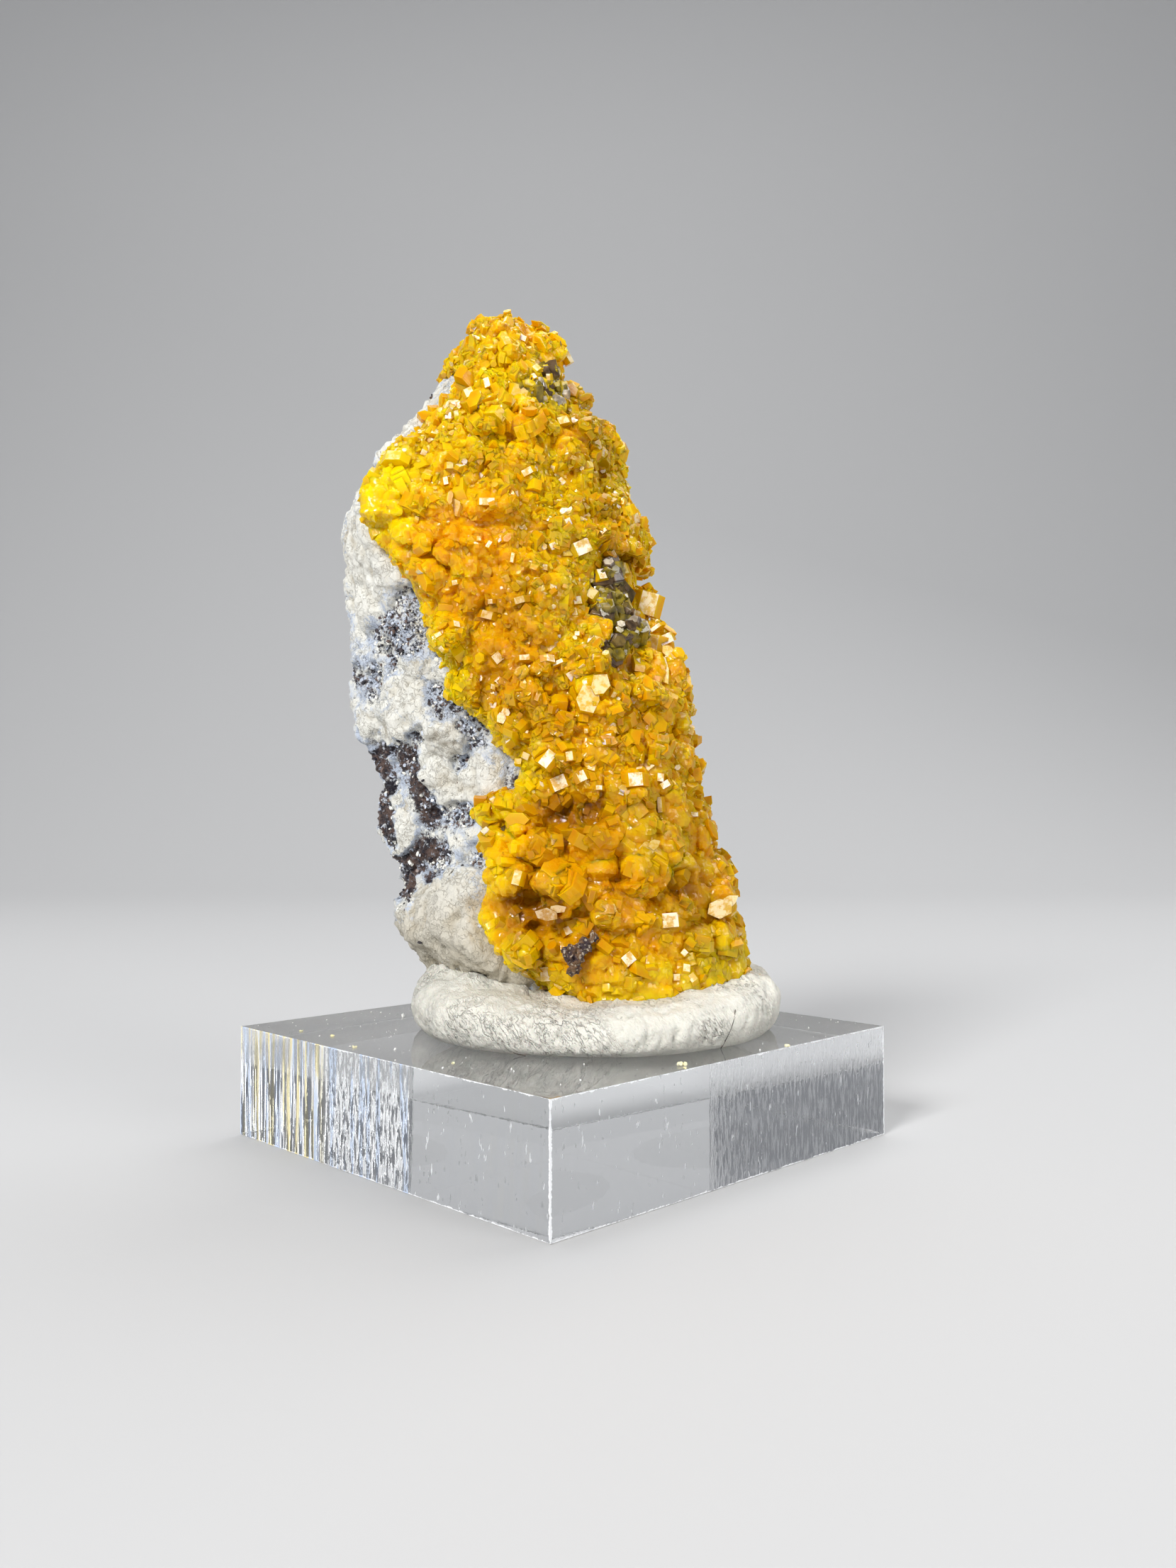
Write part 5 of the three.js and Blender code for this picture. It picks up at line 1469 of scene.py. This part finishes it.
class SPECIMEN_OT_dust(bpy.types.Operator):
    """Strews dust over the top of the block"""

    bl_idname = "specimen.dust"
    bl_label = "Dust"

    def execute(self, context):
        settings = context.scene.block_settings
        rng = np.random.default_rng(settings.seed + 1)
        low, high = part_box("acrylic_base")
        pad_low, pad_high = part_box("mounting_putty")
        pad = (pad_low + pad_high) / 2
        reach = (pad_high.x - pad_low.x) / 2
        bm = bmesh.new()
        for _ in range(settings.dust):
            spot = Vector((rng.uniform(low.x, high.x), rng.uniform(low.y, high.y), 0)) * 0.98
            if (spot.xy - pad.xy).length < reach:
                continue
            size = settings.dust_size * math.exp(rng.normal(0, 0.6))
            spot.z = high.z + size * 0.6
            add_speck(bm, spot, Euler(rng.uniform(0, 3, 3)), (size * 1.6, size, size))
        material = mottled_material("Dust", 900, (0.75, 0.73, 0.7, 1), (0.9, 0.9, 0.88, 1), 0.7)
        add_piece("dust_grains", mesh_from(bm, "dust"), material)
        return {"FINISHED"}


class SPECIMEN_OT_fibres(bpy.types.Operator):
    """Lays the hair, the short dark fibres and the crystal flecks where they cling"""

    bl_idname = "specimen.fibres"
    bl_label = "Fibres and Flecks"

    def execute(self, context):
        names = ("putty_pad", "mimetite_bed", "mimetite_crystals", "matrix_rock")
        tree = tree_of(bpy.data.objects[name] for name in names)
        curve = bpy.data.curves.new("fibres", "CURVE")
        curve.dimensions = "3D"
        curve.bevel_resolution = 1
        curve.use_fill_caps = True
        curve.bevel_depth = 0.5 * FIBRE_THICKNESS * MM
        for path in FIBRES.values():
            places = [seen_from_front(tree, across, up) for across, up in path]
            spline = curve.splines.new("NURBS")
            spline.points.add(len(places) - 1)
            spline.use_endpoint_u = True
            for bend, (point, normal) in zip(spline.points, places):
                bend.co = (*(point + normal * FIBRE_THICKNESS * MM), 1.0)
        holder = bpy.data.objects.new("fibres", curve)
        bpy.context.scene.collection.objects.link(holder)
        bpy.context.view_layer.update()
        mesh = bpy.data.meshes.new_from_object(holder)
        bpy.data.objects.remove(holder)
        material = mottled_material("Dark Fibre", 700, (0.05, 0.042, 0.034, 1), (0.13, 0.10, 0.075, 1), 0.5)
        add_piece("dark_fibres", mesh, material, smooth=True)
        self.flecks()
        return {"FINISHED"}

    def flecks(self):
        """Small broken crystals that lie on the block and under its front edge"""
        rng = np.random.default_rng(3)
        bm = bmesh.new()
        for across, away, up, size in FLECKS:
            for _ in range(5):
                spot = in_row(across, away, up) + Vector(rng.normal(0, 0.4, 3) * size * MM)
                spot.z = max(up * MM + 0.3 * size * MM, spot.z)
                add_speck(bm, spot, Euler(rng.uniform(0, 3, 3)), rng.uniform(0.3, 0.7, 3) * size * MM)
        material = mottled_material("Crystal Fleck", 1500, (0.80, 0.70, 0.25, 1), (0.85, 0.84, 0.72, 1), 0.4)
        add_piece("crystal_flecks", mesh_from(bm, "flecks"), material)


# Stage


def drawn_out(bm, edges, step):
    """The new edges that come from drawing others out by a step"""
    made = bmesh.ops.extrude_edge_only(bm, edges=edges)["geom"]
    bmesh.ops.translate(bm, verts=[part for part in made if isinstance(part, bmesh.types.BMVert)], vec=step)
    return [part for part in made if isinstance(part, bmesh.types.BMEdge)]


class SPECIMEN_OT_stage(bpy.types.Operator):
    """Sets up the floor, the lights and the camera"""

    bl_idname = "specimen.stage"
    bl_label = "Stage"

    def execute(self, context):
        settings = context.scene.stage_settings
        self.floor(settings)
        self.lights()
        self.world(context, settings)
        self.camera(context, settings)
        context.scene.view_settings.view_transform = "Standard"
        return {"FINISHED"}

    def floor(self, settings):
        """A floor that curves up into a backdrop far behind the specimen"""
        bm = bmesh.new()
        corners = [in_row(side, FLOOR_START, 0.0) for side in (-FLOOR_HALF, FLOOR_HALF)]
        front = bm.edges.new([bm.verts.new(corner) for corner in corners])
        back = drawn_out(bm, [front], in_row(0.0, FLOOR_RUN, 0.0))
        curve = bmesh.ops.spin(
            bm, geom=back + [vertex for edge in back for vertex in edge.verts],
            cent=in_row(0.0, FLOOR_START + FLOOR_RUN, CURVE_RADIUS), axis=in_row(1.0, 0.0, 0.0).normalized(),
            angle=math.radians(90), steps=32, use_merge=False,
        )["geom_last"]
        drawn_out(bm, [part for part in curve if isinstance(part, bmesh.types.BMEdge)], (0, 0, 0.5))
        bmesh.ops.translate(bm, verts=bm.verts, vec=(0, 0, -FLOOR_DROP * MM))
        bmesh.ops.recalc_face_normals(bm, faces=bm.faces)
        mesh = mesh_from(bm, "floor")
        mesh.shade_smooth()
        material, wire = new_material("Pale Floor")
        wire.shade(Base_Color=settings.floor, Roughness=0.65)
        mesh.materials.append(material)
        floor = bpy.data.objects.new("floor", mesh)
        bpy.context.scene.collection.objects.link(floor)

    def lights(self):
        """Four soft lamps: a key on the left, a fill on the right, one above and one behind"""
        target = in_row(*LAMP_TARGET)
        for name, (place, size, power) in LAMPS.items():
            data = bpy.data.lights.new(name, "AREA")
            data.shape = "SQUARE"
            data.size = size
            data.energy = power
            lamp = bpy.data.objects.new(name, data)
            lamp.location = in_row(*place)
            lamp.rotation_euler = (target - lamp.location).to_track_quat("-Z", "Y").to_euler()
            bpy.context.scene.collection.objects.link(lamp)

    def world(self, context, settings):
        """Soft light from all round"""
        world = bpy.data.worlds.new("soft studio")
        world.use_nodes = True
        background = world.node_tree.nodes["Background"]
        background.inputs["Color"].default_value = settings.sky
        background.inputs["Strength"].default_value = settings.sky_strength
        context.scene.world = world

    def camera(self, context, settings):
        """The camera at the photograph's place and angle"""
        a, e = settings.azimuth, settings.elevation
        back = Vector((math.sin(a) * math.cos(e), -math.cos(a) * math.cos(e), math.sin(e)))
        level = Vector((math.cos(a), math.sin(a), 0))
        turn = Matrix((level, back.cross(level), back)).transposed().to_4x4()
        data = bpy.data.cameras.new("camera")
        data.sensor_width = 36.0
        data.lens = settings.focal_length
        data.clip_start = MM
        data.clip_end = 10.0
        camera = bpy.data.objects.new("camera", data)
        camera.matrix_world = Matrix.Translation(settings.eye) @ turn @ Matrix.Rotation(settings.roll, 4, "Z")
        context.scene.collection.objects.link(camera)
        context.scene.camera = camera


class SPECIMEN_PT_panel(bpy.types.Panel):
    """Lists the specimen's pieces in the order in which they are made"""

    bl_idname = "SPECIMEN_PT_panel"
    bl_label = "Specimen"
    bl_space_type = "VIEW_3D"
    bl_region_type = "UI"
    bl_category = "Specimen"

    def draw(self, context):
        for operator in OPERATORS:
            self.layout.operator(operator.bl_idname)


SETTINGS = {
    "matrix_settings": MatrixSettings,
    "crust_settings": CrustSettings,
    "duftite_settings": DuftiteSettings,
    "putty_settings": PuttySettings,
    "block_settings": BlockSettings,
    "stage_settings": StageSettings,
}
OPERATORS = [
    SPECIMEN_OT_matrix,
    SPECIMEN_OT_crust_bed,
    SPECIMEN_OT_crystals,
    SPECIMEN_OT_duftite,
    SPECIMEN_OT_crumb,
    SPECIMEN_OT_putty,
    SPECIMEN_OT_block,
    SPECIMEN_OT_dust,
    SPECIMEN_OT_fibres,
    SPECIMEN_OT_stage,
]


def register():
    """Registers the settings, the operators and the panel"""
    for group in (*SETTINGS.values(), *OPERATORS, SPECIMEN_PT_panel):
        bpy.utils.register_class(group)
    for name, group in SETTINGS.items():
        setattr(bpy.types.Scene, name, PointerProperty(type=group))


def unregister():
    """Takes them off again"""
    for name in SETTINGS:
        delattr(bpy.types.Scene, name)
    for group in (SPECIMEN_PT_panel, *reversed(OPERATORS), *SETTINGS.values()):
        bpy.utils.unregister_class(group)


def main():
    """Makes every piece in order"""
    register()
    bpy.ops.specimen.matrix()
    bpy.ops.specimen.crust_bed()
    bpy.ops.specimen.crystals()
    bpy.ops.specimen.duftite()
    bpy.ops.specimen.crumb()
    bpy.ops.specimen.putty()
    bpy.ops.specimen.block()
    bpy.ops.specimen.dust()
    bpy.ops.specimen.fibres()
    bpy.ops.specimen.stage()


if __name__ == "__main__":
    main()
